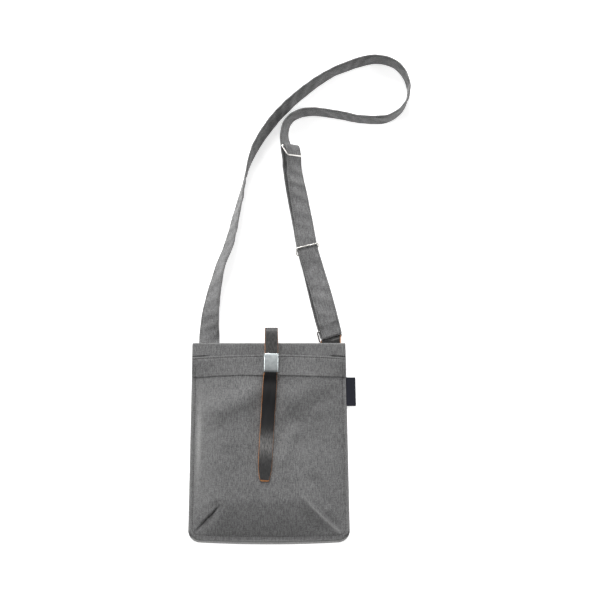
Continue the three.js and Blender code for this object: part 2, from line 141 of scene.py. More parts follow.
bpy.context.scene.view_settings.view_transform = "Standard"
addCamera()
addAreaLight("keyLight", studio["keyPlace"], studio["keySize"], studio["keyPower"])
addAreaLight("leftLight", studio["leftPlace"], studio["sideSize"], studio["leftPower"])
addAreaLight("rightLight", studio["rightPlace"], studio["sideSize"], studio["rightPower"])
addSky()
addFloor()
print("camera, lights and floor placed")


# small maths

def blendTo(a, b, share):
    return a + (b - a) * share


def smooth(value, low, high):
    t = np.clip((value - low) / (high - low), 0, 1)
    return t * t * (3 - 2 * t)


def bump(value, width):
    return np.exp(-(value / width) ** 2)


def drift(x, y, size, seed):
    # soft irregular waves of about one unit, the same on every run
    dice = np.random.default_rng(seed)
    waves = 9
    total = 0
    for _ in range(waves):
        turn = dice.uniform(0, 2 * math.pi)
        wave = 2 * math.pi / (size * dice.uniform(0.7, 1.6))
        start = dice.uniform(0, 6.28)
        total = total + np.sin(wave * (x * math.cos(turn) + y * math.sin(turn)) + start)
    return total / math.sqrt(waves)


def besideLine(x, y, points):
    # distance of each x and y from a given line, positive on its left, and the share of its length
    nearest = np.full(np.shape(x), 1e9)
    side = np.zeros(np.shape(x))
    along = np.zeros(np.shape(x))
    legs = [math.dist(a, b) for a, b in zip(points[:-1], points[1:])]
    done = 0
    for (x0, y0), (x1, y1), leg in zip(points[:-1], points[1:], legs):
        dx = x1 - x0
        dy = y1 - y0
        t = np.clip(((x - x0) * dx + (y - y0) * dy) / leg ** 2, 0, 1)
        away = np.hypot(x - x0 - t * dx, y - y0 - t * dy)
        closer = away < nearest
        nearest = np.where(closer, away, nearest)
        side = np.where(closer, np.sign(dx * (y - y0) - dy * (x - x0)), side)
        along = np.where(closer, (done + t * leg) / sum(legs), along)
        done += leg
    return nearest * side, along


def rowAt(table, place):
    # one row of a table at a fractional place along it, every column on a smooth curve
    last = len(table) - 1
    k = min(max(int(math.floor(place)), 0), last - 1)
    f = place - k
    a, b, c, d = (np.asarray(table[min(max(k + i, 0), last)], float) for i in (-1, 0, 1, 2))
    return b + 0.5 * f * (c - a + f * (2 * a - 5 * b + 4 * c - d + f * (3 * (b - c) + d - a)))


def unit(vectors):
    return vectors / np.linalg.norm(vectors, axis=-1, keepdims=True)


# mesh helpers

def gridFaces(rows, columns, start=0, flip=False):
    index = np.arange(rows * columns).reshape(rows, columns) + start
    quads = np.stack([index[:-1, :-1], index[:-1, 1:], index[1:, 1:], index[1:, :-1]], axis=-1)
    quads = quads.reshape(-1, 4)
    return quads[:, ::-1] if flip else quads


def shell(upper, lower, rimWidth):
    # closed sheet between two grids, with a rounded rim
    rows, columns = upper.shape[:2]
    count = rows * columns
    index = np.arange(count).reshape(rows, columns)
    rim = np.concatenate([index[0, :-1], index[:-1, -1], index[-1, :0:-1], index[:0:-1, 0]])
    points = np.concatenate([upper.reshape(-1, 3), lower.reshape(-1, 3)])
    faces = [gridFaces(rows, columns), gridFaces(rows, columns, count, True)]
    middle = (points[rim] + points[rim + count]) / 2
    depth = (points[rim] - points[rim + count]) / 2
    along = np.roll(middle, -1, 0) - np.roll(middle, 1, 0)
    outward = unit(np.stack([along[:, 1], -along[:, 0], 0 * along[:, 0]], axis=1))
    rings = [rim]
    for turn in (45, 90, 135):
        angle = math.radians(turn)
        rings.append(len(points) + np.arange(len(rim)))
        ring = middle + depth * math.cos(angle) + outward * rimWidth * math.sin(angle)
        points = np.concatenate([points, ring])
    rings.append(rim + count)
    for high, low in zip(rings[:-1], rings[1:]):
        faces.append(np.stack([low, np.roll(low, -1), np.roll(high, -1), high], axis=1))
    return points, np.concatenate(faces)


def loft(sections, closedPath=False):
    # closed skin through rings of points, capped at its ends unless the path closes on itself
    stations, around = sections.shape[:2]
    index = np.arange(stations * around).reshape(stations, around)
    if closedPath:
        index = np.concatenate([index, index[:1]])
    beside = np.roll(index, -1, axis=1)
    quads = np.stack([index[:-1], index[1:], beside[1:], beside[:-1]], axis=-1).reshape(-1, 4)
    faces = quads.tolist()
    if not closedPath:
        faces.append(index[0].tolist())
        faces.append(index[-1, ::-1].tolist())
    return sections.reshape(-1, 3), faces


def pointsOut(points, faces):
    # the sum is six times the volume inside the faces, below zero when they face inwards
    total = 0
    for face in faces:
        corner = points[face]
        for k in range(1, len(face) - 1):
            total += np.dot(corner[0], np.cross(corner[k], corner[k + 1]))
    return total > 0


def addPiece(name, points, faces, looks, uv, nodes=(), faceLook=None, wearAndPaintedLightAmount=None, crisp=50):
    faces = [list(face) for face in faces]
    if not pointsOut(points, faces):
        faces = [face[::-1] for face in faces]
    mesh = bpy.data.meshes.new(name)
    mesh.from_pydata(points.tolist(), [], faces)
    for look in looks:
        mesh.materials.append(look)
    if faceLook is not None:
        mesh.polygons.foreach_set("material_index", np.asarray(faceLook, np.int32))
    corners = np.zeros(len(mesh.loops), np.int32)
    mesh.loops.foreach_get("vertex_index", corners)
    layer = mesh.uv_layers.new(name="laidFlat")
    layer.data.foreach_set("uv", np.asarray(uv, np.float32)[corners].ravel())
    # the mask of wear and painted light that the materials read
    wearAndPaintedLight = mesh.attributes.new("wearAndPaintedLight", "FLOAT", "POINT")
    wornAndPaintedLight = np.zeros(len(points)) if wearAndPaintedLightAmount is None else wearAndPaintedLightAmount
    wearAndPaintedLight.data.foreach_set("value", np.asarray(wornAndPaintedLight, np.float32))
    mesh.shade_smooth()
    mesh.set_sharp_from_angle(angle=math.radians(crisp))
    piece = bpy.data.objects.new(name, mesh)
    bpy.context.scene.collection.objects.link(piece)
    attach(piece, "root")
    if nodes:
        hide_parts(*nodes)
    return piece


# node helpers

def linkOrSet(tree, socket, value):
    if isinstance(value, bpy.types.NodeSocket):
        tree.links.new(value, socket)
    else:
        socket.default_value = value


def mathNode(tree, operation, *values):
    node = tree.nodes.new("ShaderNodeMath")
    node.operation = operation
    for socket, value in zip(node.inputs, values):
        linkOrSet(tree, socket, value)
    return node.outputs[0]


def stretched(tree, vector, across, along):
    node = tree.nodes.new("ShaderNodeVectorMath")
    node.operation = "MULTIPLY"
    linkOrSet(tree, node.inputs[0], vector)
    node.inputs[1].default_value = (across, along, 1.0)
    return node.outputs[0]


def noiseNode(tree, vector, scale, detail=2.0, rough=0.5):
    node = tree.nodes.new("ShaderNodeTexNoise")
    linkOrSet(tree, node.inputs["Vector"], vector)
    linkOrSet(tree, node.inputs["Scale"], scale)
    node.inputs["Detail"].default_value = detail
    node.inputs["Roughness"].default_value = rough
    return node.outputs["Fac"]


def rangeNode(tree, value, fromLow, fromHigh, toLow, toHigh):
    node = tree.nodes.new("ShaderNodeMapRange")
    for socket, given in zip(node.inputs, (value, fromLow, fromHigh, toLow, toHigh)):
        linkOrSet(tree, socket, given)
    return node.outputs[0]


def mixColour(tree, share, a, b, kind="MIX"):
    node = tree.nodes.new("ShaderNodeMix")
    node.data_type = "RGBA"
    node.blend_type = kind
    linkOrSet(tree, node.inputs["Factor"], share)
    linkOrSet(tree, node.inputs[6], a)
    linkOrSet(tree, node.inputs[7], b)
    return node.outputs[2]


def newGroup(name, inputs, outputs):
    tree = bpy.data.node_groups.new(name, "ShaderNodeTree")
    for label, kind, value in inputs:
        socket = tree.interface.new_socket(label, in_out="INPUT", socket_type="NodeSocket" + kind)
        if value is not None:
            socket.default_value = value
    for label, kind in outputs:
        tree.interface.new_socket(label, in_out="OUTPUT", socket_type="NodeSocket" + kind)
    return tree, tree.nodes.new("NodeGroupInput").outputs, tree.nodes.new("NodeGroupOutput").inputs


def useGroup(tree, group, **values):
    node = tree.nodes.new("ShaderNodeGroup")
    node.node_tree = group
    for label, value in values.items():
        linkOrSet(tree, node.inputs[label], value)
    return node.outputs


def newLook(name):
    look = bpy.data.materials.new(name)
    look.use_nodes = True
    tree = look.node_tree
    return look, tree, tree.nodes["Principled BSDF"].inputs


def flatCoords(tree):
    node = tree.nodes.new("ShaderNodeUVMap")
    node.uv_map = "laidFlat"
    return node.outputs["UV"]


def wearAndPaintedLightMask(tree):
    node = tree.nodes.new("ShaderNodeAttribute")
    node.attribute_name = "wearAndPaintedLight"
    return node.outputs["Fac"]


def bumpNode(tree, height, depth, strength=1.0):
    node = tree.nodes.new("ShaderNodeBump")
    node.inputs["Distance"].default_value = depth
    node.inputs["Strength"].default_value = strength
    linkOrSet(tree, node.inputs["Height"], height)
    return node.outputs["Normal"]


# shared effects

weave = {
    "dip": 0.4,               # how far each yarn goes under its neighbours
    "yarnLong": 0.06,         # shades are drawn out along the yarns
    "slub": (0.42, 0.10),
    "fleck": (0.55, 0.40),
    "yarnShare": 0.3,
    "slubShare": 0.35,
    "fleckShare": 0.35,
    "spread": 3.0,
    "slubHeight": 0.5,
    "roughness": (0.82, 0.96),
    "specular": 0.2,
    "sheenRoughness": 0.4,
}

wornSpots = {
    "size": 900.0,            # spots a metre
    "range": (0.35, 0.6),
    "strength": (0.25, 1.0),
}

handling = {
    "scratchLong": 0.04,
    "scratchShare": 0.55,
    "marks": 160.0,
    "markShare": 0.45,
    "range": (0.35, 0.65),
}


def yarnRipple(tree, count):
    return mathNode(tree, "ABSOLUTE", mathNode(tree, "SINE", mathNode(tree, "MULTIPLY", count, math.pi)))


def makeWovenYarn():
    # plain weave of melange yarn: the yarns' shades, and their height over and under each other
    tree, given, out = newGroup(
        "wovenYarn",
        [
            ("Coords", "Vector", None),
            ("Threads", "Float", 1500.0),
            ("Contrast", "Float", 1.0),
            ("Dark Yarn", "Color", (0.1, 0.1, 0.1, 1)),
            ("Light Yarn", "Color", (0.2, 0.2, 0.2, 1)),
        ],
        [("Colour", "Color"), ("Height", "Float"), ("Fuzz", "Float")],
    )
    scale = tree.nodes.new("ShaderNodeVectorMath")
    scale.operation = "SCALE"
    tree.links.new(given["Coords"], scale.inputs[0])
    tree.links.new(given["Threads"], scale.inputs["Scale"])
    counted = scale.outputs[0]
    parts = tree.nodes.new("ShaderNodeSeparateXYZ")
    tree.links.new(counted, parts.inputs[0])
    across, along = parts.outputs[:2]
    warp = yarnRipple(tree, across)
    weft = yarnRipple(tree, along)
    cell = mathNode(tree, "ADD", mathNode(tree, "FLOOR", across), mathNode(tree, "FLOOR", along))
    warpOver = mathNode(tree, "PINGPONG", cell, 1.0)
    dip = weave["dip"]
    warpTop = mathNode(tree, "MULTIPLY", warp, mathNode(tree, "MULTIPLY_ADD", weft, dip, 1 - dip))
    weftTop = mathNode(tree, "MULTIPLY", weft, mathNode(tree, "MULTIPLY_ADD", warp, dip, 1 - dip))
    overUnder = rangeNode(tree, warpOver, 0.0, 1.0, weftTop, warpTop)
    warpShade = noiseNode(tree, stretched(tree, counted, 1.0, weave["yarnLong"]), 1.0, 2.0)
    weftShade = noiseNode(tree, stretched(tree, counted, weave["yarnLong"], 1.0), 1.0, 2.0)
    yarn = rangeNode(tree, warpOver, 0.0, 1.0, weftShade, warpShade)
    slub = noiseNode(tree, stretched(tree, counted, *weave["slub"]), 1.0, 3.0, 0.6)
    fleck = noiseNode(tree, stretched(tree, counted, *weave["fleck"]), 1.0, 2.0, 0.6)
    slubPart = mathNode(tree, "MULTIPLY", slub, weave["slubShare"])
    shade = mathNode(tree, "MULTIPLY_ADD", yarn, weave["yarnShare"], slubPart)
    shade = mathNode(tree, "MULTIPLY_ADD", fleck, weave["fleckShare"], shade)
    away = mathNode(tree, "MULTIPLY", mathNode(tree, "SUBTRACT", shade, 0.5), given["Contrast"])
    share = mathNode(tree, "MULTIPLY_ADD", away, weave["spread"], 0.5)
    share.node.use_clamp = True
    tree.links.new(mixColour(tree, share, given["Dark Yarn"], given["Light Yarn"]), out["Colour"])
    tree.links.new(mathNode(tree, "MULTIPLY_ADD", slub, weave["slubHeight"], overUnder), out["Height"])
    tree.links.new(rangeNode(tree, fleck, 0.3, 0.7, *weave["roughness"]), out["Fuzz"])
    return tree


def makeColourDrift():
    # large soft patches that shift a colour, and small spots that mix in a paler colour for wear and
    # painted light
    tree, given, out = newGroup(
        "colourDrift",
        [
            ("Coords", "Vector", None),
            ("Colour", "Color", (0.5, 0.5, 0.5, 1)),
            ("Wear And Painted Light Colour", "Color", (0.6, 0.6, 0.6, 1)),
            ("Wear And Painted Light", "Float", 0.0),
            ("Patch", "Float", 30.0),
            ("Amount", "Float", 0.15),
        ],
        [("Colour", "Color"), ("Wear And Painted Light Share", "Float")],
    )
    patch = noiseNode(tree, given["Coords"], given["Patch"], 3.0)
    low = mathNode(tree, "SUBTRACT", 1.0, given["Amount"])
    high = mathNode(tree, "ADD", 1.0, given["Amount"])
    gain = rangeNode(tree, patch, 0.3, 0.7, low, high)
    grey = tree.nodes.new("ShaderNodeCombineColor")
    for socket in grey.inputs[:3]:
        tree.links.new(gain, socket)
    shifted = mixColour(tree, 1.0, given["Colour"], grey.outputs[0], "MULTIPLY")
    speckle = noiseNode(tree, given["Coords"], wornSpots["size"], 2.0, 0.7)
    spots = rangeNode(tree, speckle, *wornSpots["range"], *wornSpots["strength"])
    wornAndPaintedLight = mathNode(tree, "MULTIPLY", given["Wear And Painted Light"], spots)
    tree.links.new(mixColour(tree, wornAndPaintedLight, shifted, given["Wear And Painted Light Colour"]), out["Colour"])
    tree.links.new(wornAndPaintedLight, out["Wear And Painted Light Share"])
    return tree


def makeHandledMetal():
    # fine drawn scratches and finger marks
    tree, given, out = newGroup(
        "handledMetal",
        [
            ("Coords", "Vector", None),
            ("Smooth", "Float", 0.2),
            ("Dull", "Float", 0.4),
            ("Scratches", "Float", 1500.0),
        ],
        [("Roughness", "Float"), ("Height", "Float"), ("Marks", "Float")],
    )
    drawn = stretched(tree, given["Coords"], 1.0, handling["scratchLong"])
    lines = noiseNode(tree, drawn, given["Scratches"], 3.0, 0.6)
    marks = noiseNode(tree, given["Coords"], handling["marks"], 3.0, 0.55)
    markPart = mathNode(tree, "MULTIPLY", marks, handling["markShare"])
    mixed = mathNode(tree, "MULTIPLY_ADD", lines, handling["scratchShare"], markPart)
    rough = rangeNode(tree, mixed, *handling["range"], given["Smooth"], given["Dull"])
    tree.links.new(rough, out["Roughness"])
    tree.links.new(lines, out["Height"])
    tree.links.new(marks, out["Marks"])
    return tree


wovenYarn = makeWovenYarn()
colourDrift = makeColourDrift()
handledMetal = makeHandledMetal()


# materials

cloths = {
    "bagCanvas": {
        "dark": (0.097, 0.097, 0.098, 1),
        "light": (0.214, 0.214, 0.214, 1),
        "threads": 1500.0,    # yarns a metre
        "contrast": 2.1,
        "depth": 0.08 * mm,
        "sheen": 0.35,
        "patch": 35.0,
        "uneven": 0.05,
    },
    # lighter than the bag's canvas: painted light on the strap's steep faces
    "strapCanvasPaintedLighter": {
        "dark": (0.109, 0.109, 0.110, 1),
        "light": (0.243, 0.243, 0.244, 1),
        "threads": 1500.0,
        "contrast": 2.1,
        "depth": 0.08 * mm,
        "sheen": 0.3,
        "patch": 58.0,
        "uneven": 0.13,
    },
    "labelWeave": {
        "dark": (0.012, 0.013, 0.019, 1),
        "light": (0.026, 0.028, 0.038, 1),
        "threads": 3800.0,
        "contrast": 0.6,
        "depth": 0.05 * mm,
        "sheen": 0.1,
        "patch": 60.0,
        "uneven": 0.1,
    },
}
# paler cloth, shown for wear and for painted light
wornAndPaintedLightCloth = (0.32, 0.32, 0.315, 1)


def clothLook(name):
    cloth = cloths[name]
    look, tree, shader = newLook(name)
    coords = flatCoords(tree)
    yarn = useGroup(tree, wovenYarn, **{
        "Coords": coords,
        "Threads": cloth["threads"],
        "Contrast": cloth["contrast"],
        "Dark Yarn": cloth["dark"],
        "Light Yarn": cloth["light"],
    })
    drifted = useGroup(tree, colourDrift, **{
        "Coords": coords,
        "Colour": yarn["Colour"],
        "Wear And Painted Light Colour": wornAndPaintedLightCloth,
        "Wear And Painted Light": wearAndPaintedLightMask(tree),
        "Patch": cloth["patch"],
        "Amount": cloth["uneven"],
    })
    tree.links.new(drifted["Colour"], shader["Base Color"])
    tree.links.new(yarn["Fuzz"], shader["Roughness"])
    tree.links.new(bumpNode(tree, yarn["Height"], cloth["depth"]), shader["Normal"])
    shader["Specular IOR Level"].default_value = weave["specular"]
    shader["Sheen Weight"].default_value = cloth["sheen"]
    shader["Sheen Roughness"].default_value = weave["sheenRoughness"]
    return look


sewing = {
    "colour": (0.055, 0.052, 0.050, 1),
    "twist": 700.0,
    "depth": 0.08 * mm,
    "patch": 120.0,
    "uneven": 0.25,
    "roughness": 0.6,
    "sheen": 0.2,
}


def threadLook():
    look, tree, shader = newLook("sewingThread")
    coords = flatCoords(tree)
    twist = tree.nodes.new("ShaderNodeTexWave")
    twist.bands_direction = "DIAGONAL"
    tree.links.new(coords, twist.inputs["Vector"])
    twist.inputs["Scale"].default_value = sewing["twist"]
    drifted = useGroup(tree, colourDrift, **{
        "Coords": coords,
        "Colour": sewing["colour"],
        "Patch": sewing["patch"],
        "Amount": sewing["uneven"],
    })
    tree.links.new(drifted["Colour"], shader["Base Color"])
    tree.links.new(bumpNode(tree, twist.outputs["Fac"], sewing["depth"]), shader["Normal"])
    shader["Roughness"].default_value = sewing["roughness"]
    shader["Sheen Weight"].default_value = sewing["sheen"]
    return look


grainSide = {
    "colour": (0.009, 0.0088, 0.0095, 1),
    # paler colour for the painted sheen on the closure strap, the painted highlight on the tab's bend, and
    # wear
    "wornAndPaintedLight": (0.165, 0.161, 0.157, 1),
    "pores": 1500.0,
    "poreLong": 0.75,
    "poreShare": 0.5,
    "creases": 700.0,
    "creaseLong": 0.12,
    "creaseShare": 0.6,
    "patch": 220.0,
    "patchLong": 0.2,
    "uneven": 0.35,
    "roughness": (0.40, 0.56),
    "depth": 0.05 * mm,
    "relief": 0.6,
    "specular": 0.35,
}


def leatherLook():
    look, tree, shader = newLook("blackLeather")
    coords = flatCoords(tree)
    pores = tree.nodes.new("ShaderNodeTexVoronoi")
    pores.feature = "DISTANCE_TO_EDGE"
    tree.links.new(stretched(tree, coords, 1.0, grainSide["poreLong"]), pores.inputs["Vector"])
    pores.inputs["Scale"].default_value = grainSide["pores"]
    pebble = rangeNode(tree, pores.outputs["Distance"], 0.0, 0.25, 0.0, 1.0)
    folded = stretched(tree, coords, 1.0, grainSide["creaseLong"])
    creases = noiseNode(tree, folded, grainSide["creases"], 3.0)
    porePart = mathNode(tree, "MULTIPLY", pebble, grainSide["poreShare"])
    height = mathNode(tree, "MULTIPLY_ADD", creases, grainSide["creaseShare"], porePart)
    drifted = useGroup(tree, colourDrift, **{
        "Coords": stretched(tree, coords, 1.0, grainSide["patchLong"]),
        "Colour": grainSide["colour"],
        "Wear And Painted Light Colour": grainSide["wornAndPaintedLight"],
        "Wear And Painted Light": wearAndPaintedLightMask(tree),
        "Patch": grainSide["patch"],
        "Amount": grainSide["uneven"],
    })
    tree.links.new(drifted["Colour"], shader["Base Color"])
    tree.links.new(rangeNode(tree, creases, 0.3, 0.7, *grainSide["roughness"]), shader["Roughness"])
    tree.links.new(bumpNode(tree, height, grainSide["depth"], grainSide["relief"]), shader["Normal"])
    shader["Specular IOR Level"].default_value = grainSide["specular"]
    return look


rawSides = {
    "leatherCutEdge": {
        "colour": (0.45, 0.175, 0.052, 1),
        "wornAndPaintedLight": (0.42, 0.23, 0.12, 1),
        "roughness": 0.62,
    },
    "leatherFleshSide": {
        "colour": (0.13, 0.075, 0.042, 1),
        "wornAndPaintedLight": (0.20, 0.13, 0.08, 1),
        "roughness": 0.9,
    },
}
rawFibres = {
    "size": 1600.0,
    "long": 0.25,
    "tufts": 0.8,
    "patch": 90.0,
    "uneven": 0.25,
    "depth": 0.12 * mm,
}


def rawLeatherLook(name):
    side = rawSides[name]
    look, tree, shader = newLook(name)
    coords = flatCoords(tree)
    fibres = noiseNode(tree, stretched(tree, coords, 1.0, rawFibres["long"]), rawFibres["size"], 3.0, 0.65)
    drifted = useGroup(tree, colourDrift, **{
        "Coords": coords,
        "Colour": side["colour"],
        "Wear And Painted Light Colour": side["wornAndPaintedLight"],
        "Wear And Painted Light": rangeNode(tree, fibres, 0.4, 0.65, 0.0, rawFibres["tufts"]),
        "Patch": rawFibres["patch"],
        "Amount": rawFibres["uneven"],
    })
    tree.links.new(drifted["Colour"], shader["Base Color"])
    tree.links.new(bumpNode(tree, fibres, rawFibres["depth"]), shader["Normal"])
    shader["Roughness"].default_value = side["roughness"]
    return look


metals = {
    "satinSteel": {
        "colour": (0.66, 0.70, 0.705, 1),
        "mark": (0.46, 0.50, 0.51, 1),
        "smooth": 0.30,
        "dull": 0.46,
        "scratches": 1300.0,
        "depth": 0.01 * mm,
    },
    "platedWire": {
        "colour": (0.92, 0.90, 0.86, 1),
        "smooth": 0.26,
        "dull": 0.40,
        "scratches": 900.0,
        "patch": 200.0,
        "uneven": 0.06,
    },
    # dark colour for the ring, standing in for shade and dark reflections round it
    "shadeDarkWire": {
        "colour": (0.22, 0.21, 0.20, 1),
        "smooth": 0.26,
        "dull": 0.40,
        "scratches": 900.0,
        "patch": 200.0,
        "uneven": 0.06,
    },
}


def handledBy(tree, coords, metal):
    return useGroup(tree, handledMetal, **{
        "Coords": coords,
        "Smooth": metal["smooth"],
        "Dull": metal["dull"],
        "Scratches": metal["scratches"],
    })


def keeperLook(name):
    metal = metals[name]
    look, tree, shader = newLook(name)
    handled = handledBy(tree, flatCoords(tree), metal)
    marked = rangeNode(tree, handled["Marks"], 0.35, 0.68, 0.0, 1.0)
    tree.links.new(mixColour(tree, marked, metal["colour"], metal["mark"]), shader["Base Color"])
    tree.links.new(handled["Roughness"], shader["Roughness"])
    tree.links.new(bumpNode(tree, handled["Height"], metal["depth"]), shader["Normal"])
    shader["Metallic"].default_value = 1.0
    return look


def wireLook(name):
    metal = metals[name]
    look, tree, shader = newLook(name)
    coords = flatCoords(tree)
    handled = handledBy(tree, coords, metal)
    drifted = useGroup(tree, colourDrift, **{
        "Coords": coords,
        "Colour": metal["colour"],
        "Patch": metal["patch"],
        "Amount": metal["uneven"],
    })
    tree.links.new(drifted["Colour"], shader["Base Color"])
    tree.links.new(handled["Roughness"], shader["Roughness"])
    shader["Metallic"].default_value = 1.0
    return look


bagCloth = clothLook("bagCanvas")
strapCloth = clothLook("strapCanvasPaintedLighter")
labelCloth = clothLook("labelWeave")
thread = threadLook()
blackLeather = leatherLook()
cutEdge = rawLeatherLook("leatherCutEdge")
fleshSide = rawLeatherLook("leatherFleshSide")
satinSteel = keeperLook("satinSteel")
platedWire = wireLook("platedWire")
shadeDarkWire = wireLook("shadeDarkWire")
print("materials made")


# bag panels: outline and surfaces

bag = {
    "topY": 0.1225,
    "bottomY": -0.1228,
    "topHalf": 0.093,
    "bottomHalf": 0.0986,
    "corner": 0.014,
    "bow": 0.0026,            # how far the ends of the bottom edge curve up
    "bowHalf": 0.090,
    "bowReach": 0.060,
    "cloth": 1.6 * mm,
    "gap": 0.3 * mm,
    "liftFrom": 0.076,
    "liftTo": 0.106,
    "lift": 6.0 * mm,         # the strap ends behind it hold the mouth up
}

frontPanel = {
    "bottomY": -0.1195,
    "inset": 0.5 * mm,
    "sideFlange": 4.2 * mm,
    "bottomFlange": 5.7 * mm,
    "lipSideY": 0.1054,
    "lipMiddleY": 0.109,
    "hemSideY": 0.0817,
    "hemMiddleY": 0.0848,
    "topZ": 22.5 * mm,
    "lipZ": 17.0 * mm,
    "topY": 0.020,
    "sag": 2.6 * mm,
    "sagY": -0.080,
    "bottomReach": 0.047,
    "bottomPower": 1.5,
    "leftPower": 5.2,
    "rightPower": 3.4,
    "pressed": 1.1 * mm,      # the bottom flange gets thinner towards its edge
    "pressedPower": 1.8,
    "insideHem": 1.3 * mm,    # the cloth ends this far below the lip
    "rim": 0.6 * mm,
    "spacing": 1.0 * mm,
}
bottomSeamY = frontPanel["bottomY"] + frontPanel["bottomFlange"]

# gathers beside the seams, the dip along the stitches, and the cloth's own slight waves
unevenness = {
    "gather": 0.22 * mm,
    "gatherAway": 3 * mm,
    "gatherReach": 6 * mm,
    "gatherSize": 9 * mm,
    "dip": 0.3 * mm,
    "dipAway": 0.2 * mm,
    "dipReach": 1.0 * mm,
    "deepest": 0.25 * mm,
    "wave": 0.28 * mm,
    "waveSize": 34 * mm,
    "ripple": 0.09 * mm,
    "rippleSize": 11 * mm,
}

# soft waves of the front panel: a line, its height (+ ridge, - valley) and its reach to both sides
softFolds = [
    {"line": [(-0.070, -0.105), (-0.048, -0.080)], "height": 1.2 * mm, "reach": 9 * mm},
    {"line": [(0.060, -0.104), (0.030, -0.078)], "height": -1.6 * mm, "reach": 10 * mm},
    {"line": [(-0.0067, 0.0643), (-0.0590, 0.0434)], "height": 5.6 * mm, "reach": 14 * mm},
    {"line": [(0.0820, 0.0766), (0.0310, 0.0533)], "height": 5.6 * mm, "reach": 19 * mm},
    {"line": [(0.0130, 0.0150), (0.0300, 0.0180)], "height": -4.0 * mm, "reach": 29 * mm},
    {"line": [(0.0882, 0.0459), (0.0637, 0.0398)], "height": 1.6 * mm, "reach": 8.5 * mm},
    {"line": [(-0.0780, 0.0450), (-0.0840, -0.0120)], "height": 1.4 * mm, "reach": 7.5 * mm},
    {"line": [(0.0300, 0.0123), (0.0160, -0.0178)], "height": 2.8 * mm, "reach": 9 * mm},
    {"line": [(0.0560, -0.0470), (0.0700, -0.0710)], "height": -3.0 * mm, "reach": 8 * mm},
    {"line": [(0.0430, 0.0020), (0.0470, -0.0400)], "height": -1.6 * mm, "reach": 9 * mm},
    {"line": [(-0.0800, -0.0300), (-0.0720, -0.0660)], "height": 1.2 * mm, "reach": 10 * mm},
]

# the closure strap holds the waves flat under it
strapHold = {"middleX": -2 * mm, "reach": 10 * mm, "share": 0.8}

# the two corner creases: on the left the side laps over the bottom, on the right a raised ridge
leftCrease = {
    "line": [(-0.0940, -0.1115), (-0.0771, -0.0911), (-0.0703, -0.0845), (-0.0600, -0.0745)],
    "fadeFrom": 0.70,         # share of the line where it starts to fade
    "step": 5.0 * mm,
    "upShare": 0.6,
    "edge": 0.7 * mm,
    "upReach": 17 * mm,
    "downReach": 9 * mm,
    "groove": 2.8 * mm,
    "grooveAway": 0.8 * mm,
    "grooveWidth": 1.25 * mm,
    "dent": 2.2 * mm,
    "dentAt": (-0.0655, -0.0775),
    "dentReach": 5.5 * mm,
}
rightRidge = {
    "line": [(0.0860, -0.1088), (0.0676, -0.0925), (0.0544, -0.0793), (0.0424, -0.0653), (0.0375, -0.0550)],
    "fadeFrom": 0.55,
    "height": 3.6 * mm,
    "power": 1.4,
    "left": 7.5 * mm,
    "right": 2.0 * mm,
    "widens": 1.2,
    "valley": 1.9 * mm,
    "valleyAway": 5.0 * mm,
    "valleyReach": 4 * mm,
    "valleyEnds": (0.2, 0.6),
}

# the middle and the right sink below the stiff hem and rise again towards the bottom
belowHem = {
    "depth": 6.5 * mm,
    "reach": 44 * mm,
    "backFrom": 0.022,
    "backTo": -0.066,
    "left": (-0.030, -0.008),
    "right": (0.064, 0.089),
}


def halfWidth(y):
    return blendTo(bag["bottomHalf"], bag["topHalf"], (y - bag["bottomY"]) / (bag["topY"] - bag["bottomY"]))


def cornerLoss(height):
    left = bag["corner"] - np.minimum(height, bag["corner"])
    return bag["corner"] - np.sqrt(np.maximum(bag["corner"] ** 2 - left ** 2, 0))


def bottomBow(x, y):
    near = np.clip(1 - (y - bag["bottomY"]) / bag["bowReach"], 0, 1)
    return bag["bow"] * (x / bag["bowHalf"]) ** 2 * near


def backUnder(y):
    return bag["lift"] * smooth(y, bag["liftFrom"], bag["liftTo"])


def hemEdge(x):
    low = frontPanel["hemSideY"]
    return blendTo(frontPanel["hemMiddleY"], low, (x / halfWidth(low)) ** 2)


def lipEdge(x):
    low = frontPanel["lipSideY"]
    return blendTo(frontPanel["lipMiddleY"], low, (x / halfWidth(low)) ** 2)


def softWaves(x, y):
    height = 0
    for fold in softFolds:
        away, along = besideLine(x, y, fold["line"])
        height = height + fold["height"] * bump(away, fold["reach"])
    return height * (1 - strapHold["share"] * bump(x - strapHold["middleX"], strapHold["reach"]))


def sinkBelowHem(x, y):
    down = np.clip((hemEdge(x) - y) / belowHem["reach"], 0, 1)
    sunk = (1 - (1 - down) ** 2) * (1 - smooth(-y, -belowHem["backFrom"], -belowHem["backTo"]))
    return belowHem["depth"] * sunk * smooth(x, *belowHem["left"]) * (1 - smooth(x, *belowHem["right"]))


def leftCorner(x, y):
    # high on the line's left, dropping at a tight edge into a groove
    away, along = besideLine(x, y, leftCrease["line"])
    edge = leftCrease["edge"]
    raised = bump(np.maximum(away, 0), leftCrease["upReach"]) * smooth(away, -edge, edge)
    sunk = bump(np.minimum(away, 0), leftCrease["downReach"]) * smooth(-away, -edge, edge)
    step = leftCrease["step"] * (leftCrease["upShare"] * raised - (1 - leftCrease["upShare"]) * sunk)
    groove = leftCrease["groove"] * bump(away + leftCrease["grooveAway"], leftCrease["grooveWidth"])
    dentX, dentY = leftCrease["dentAt"]
    dent = leftCrease["dent"] * bump(np.hypot(x - dentX, y - dentY), leftCrease["dentReach"])
    return (1 - smooth(along, leftCrease["fadeFrom"], 1.0)) * (step - groove) - dent


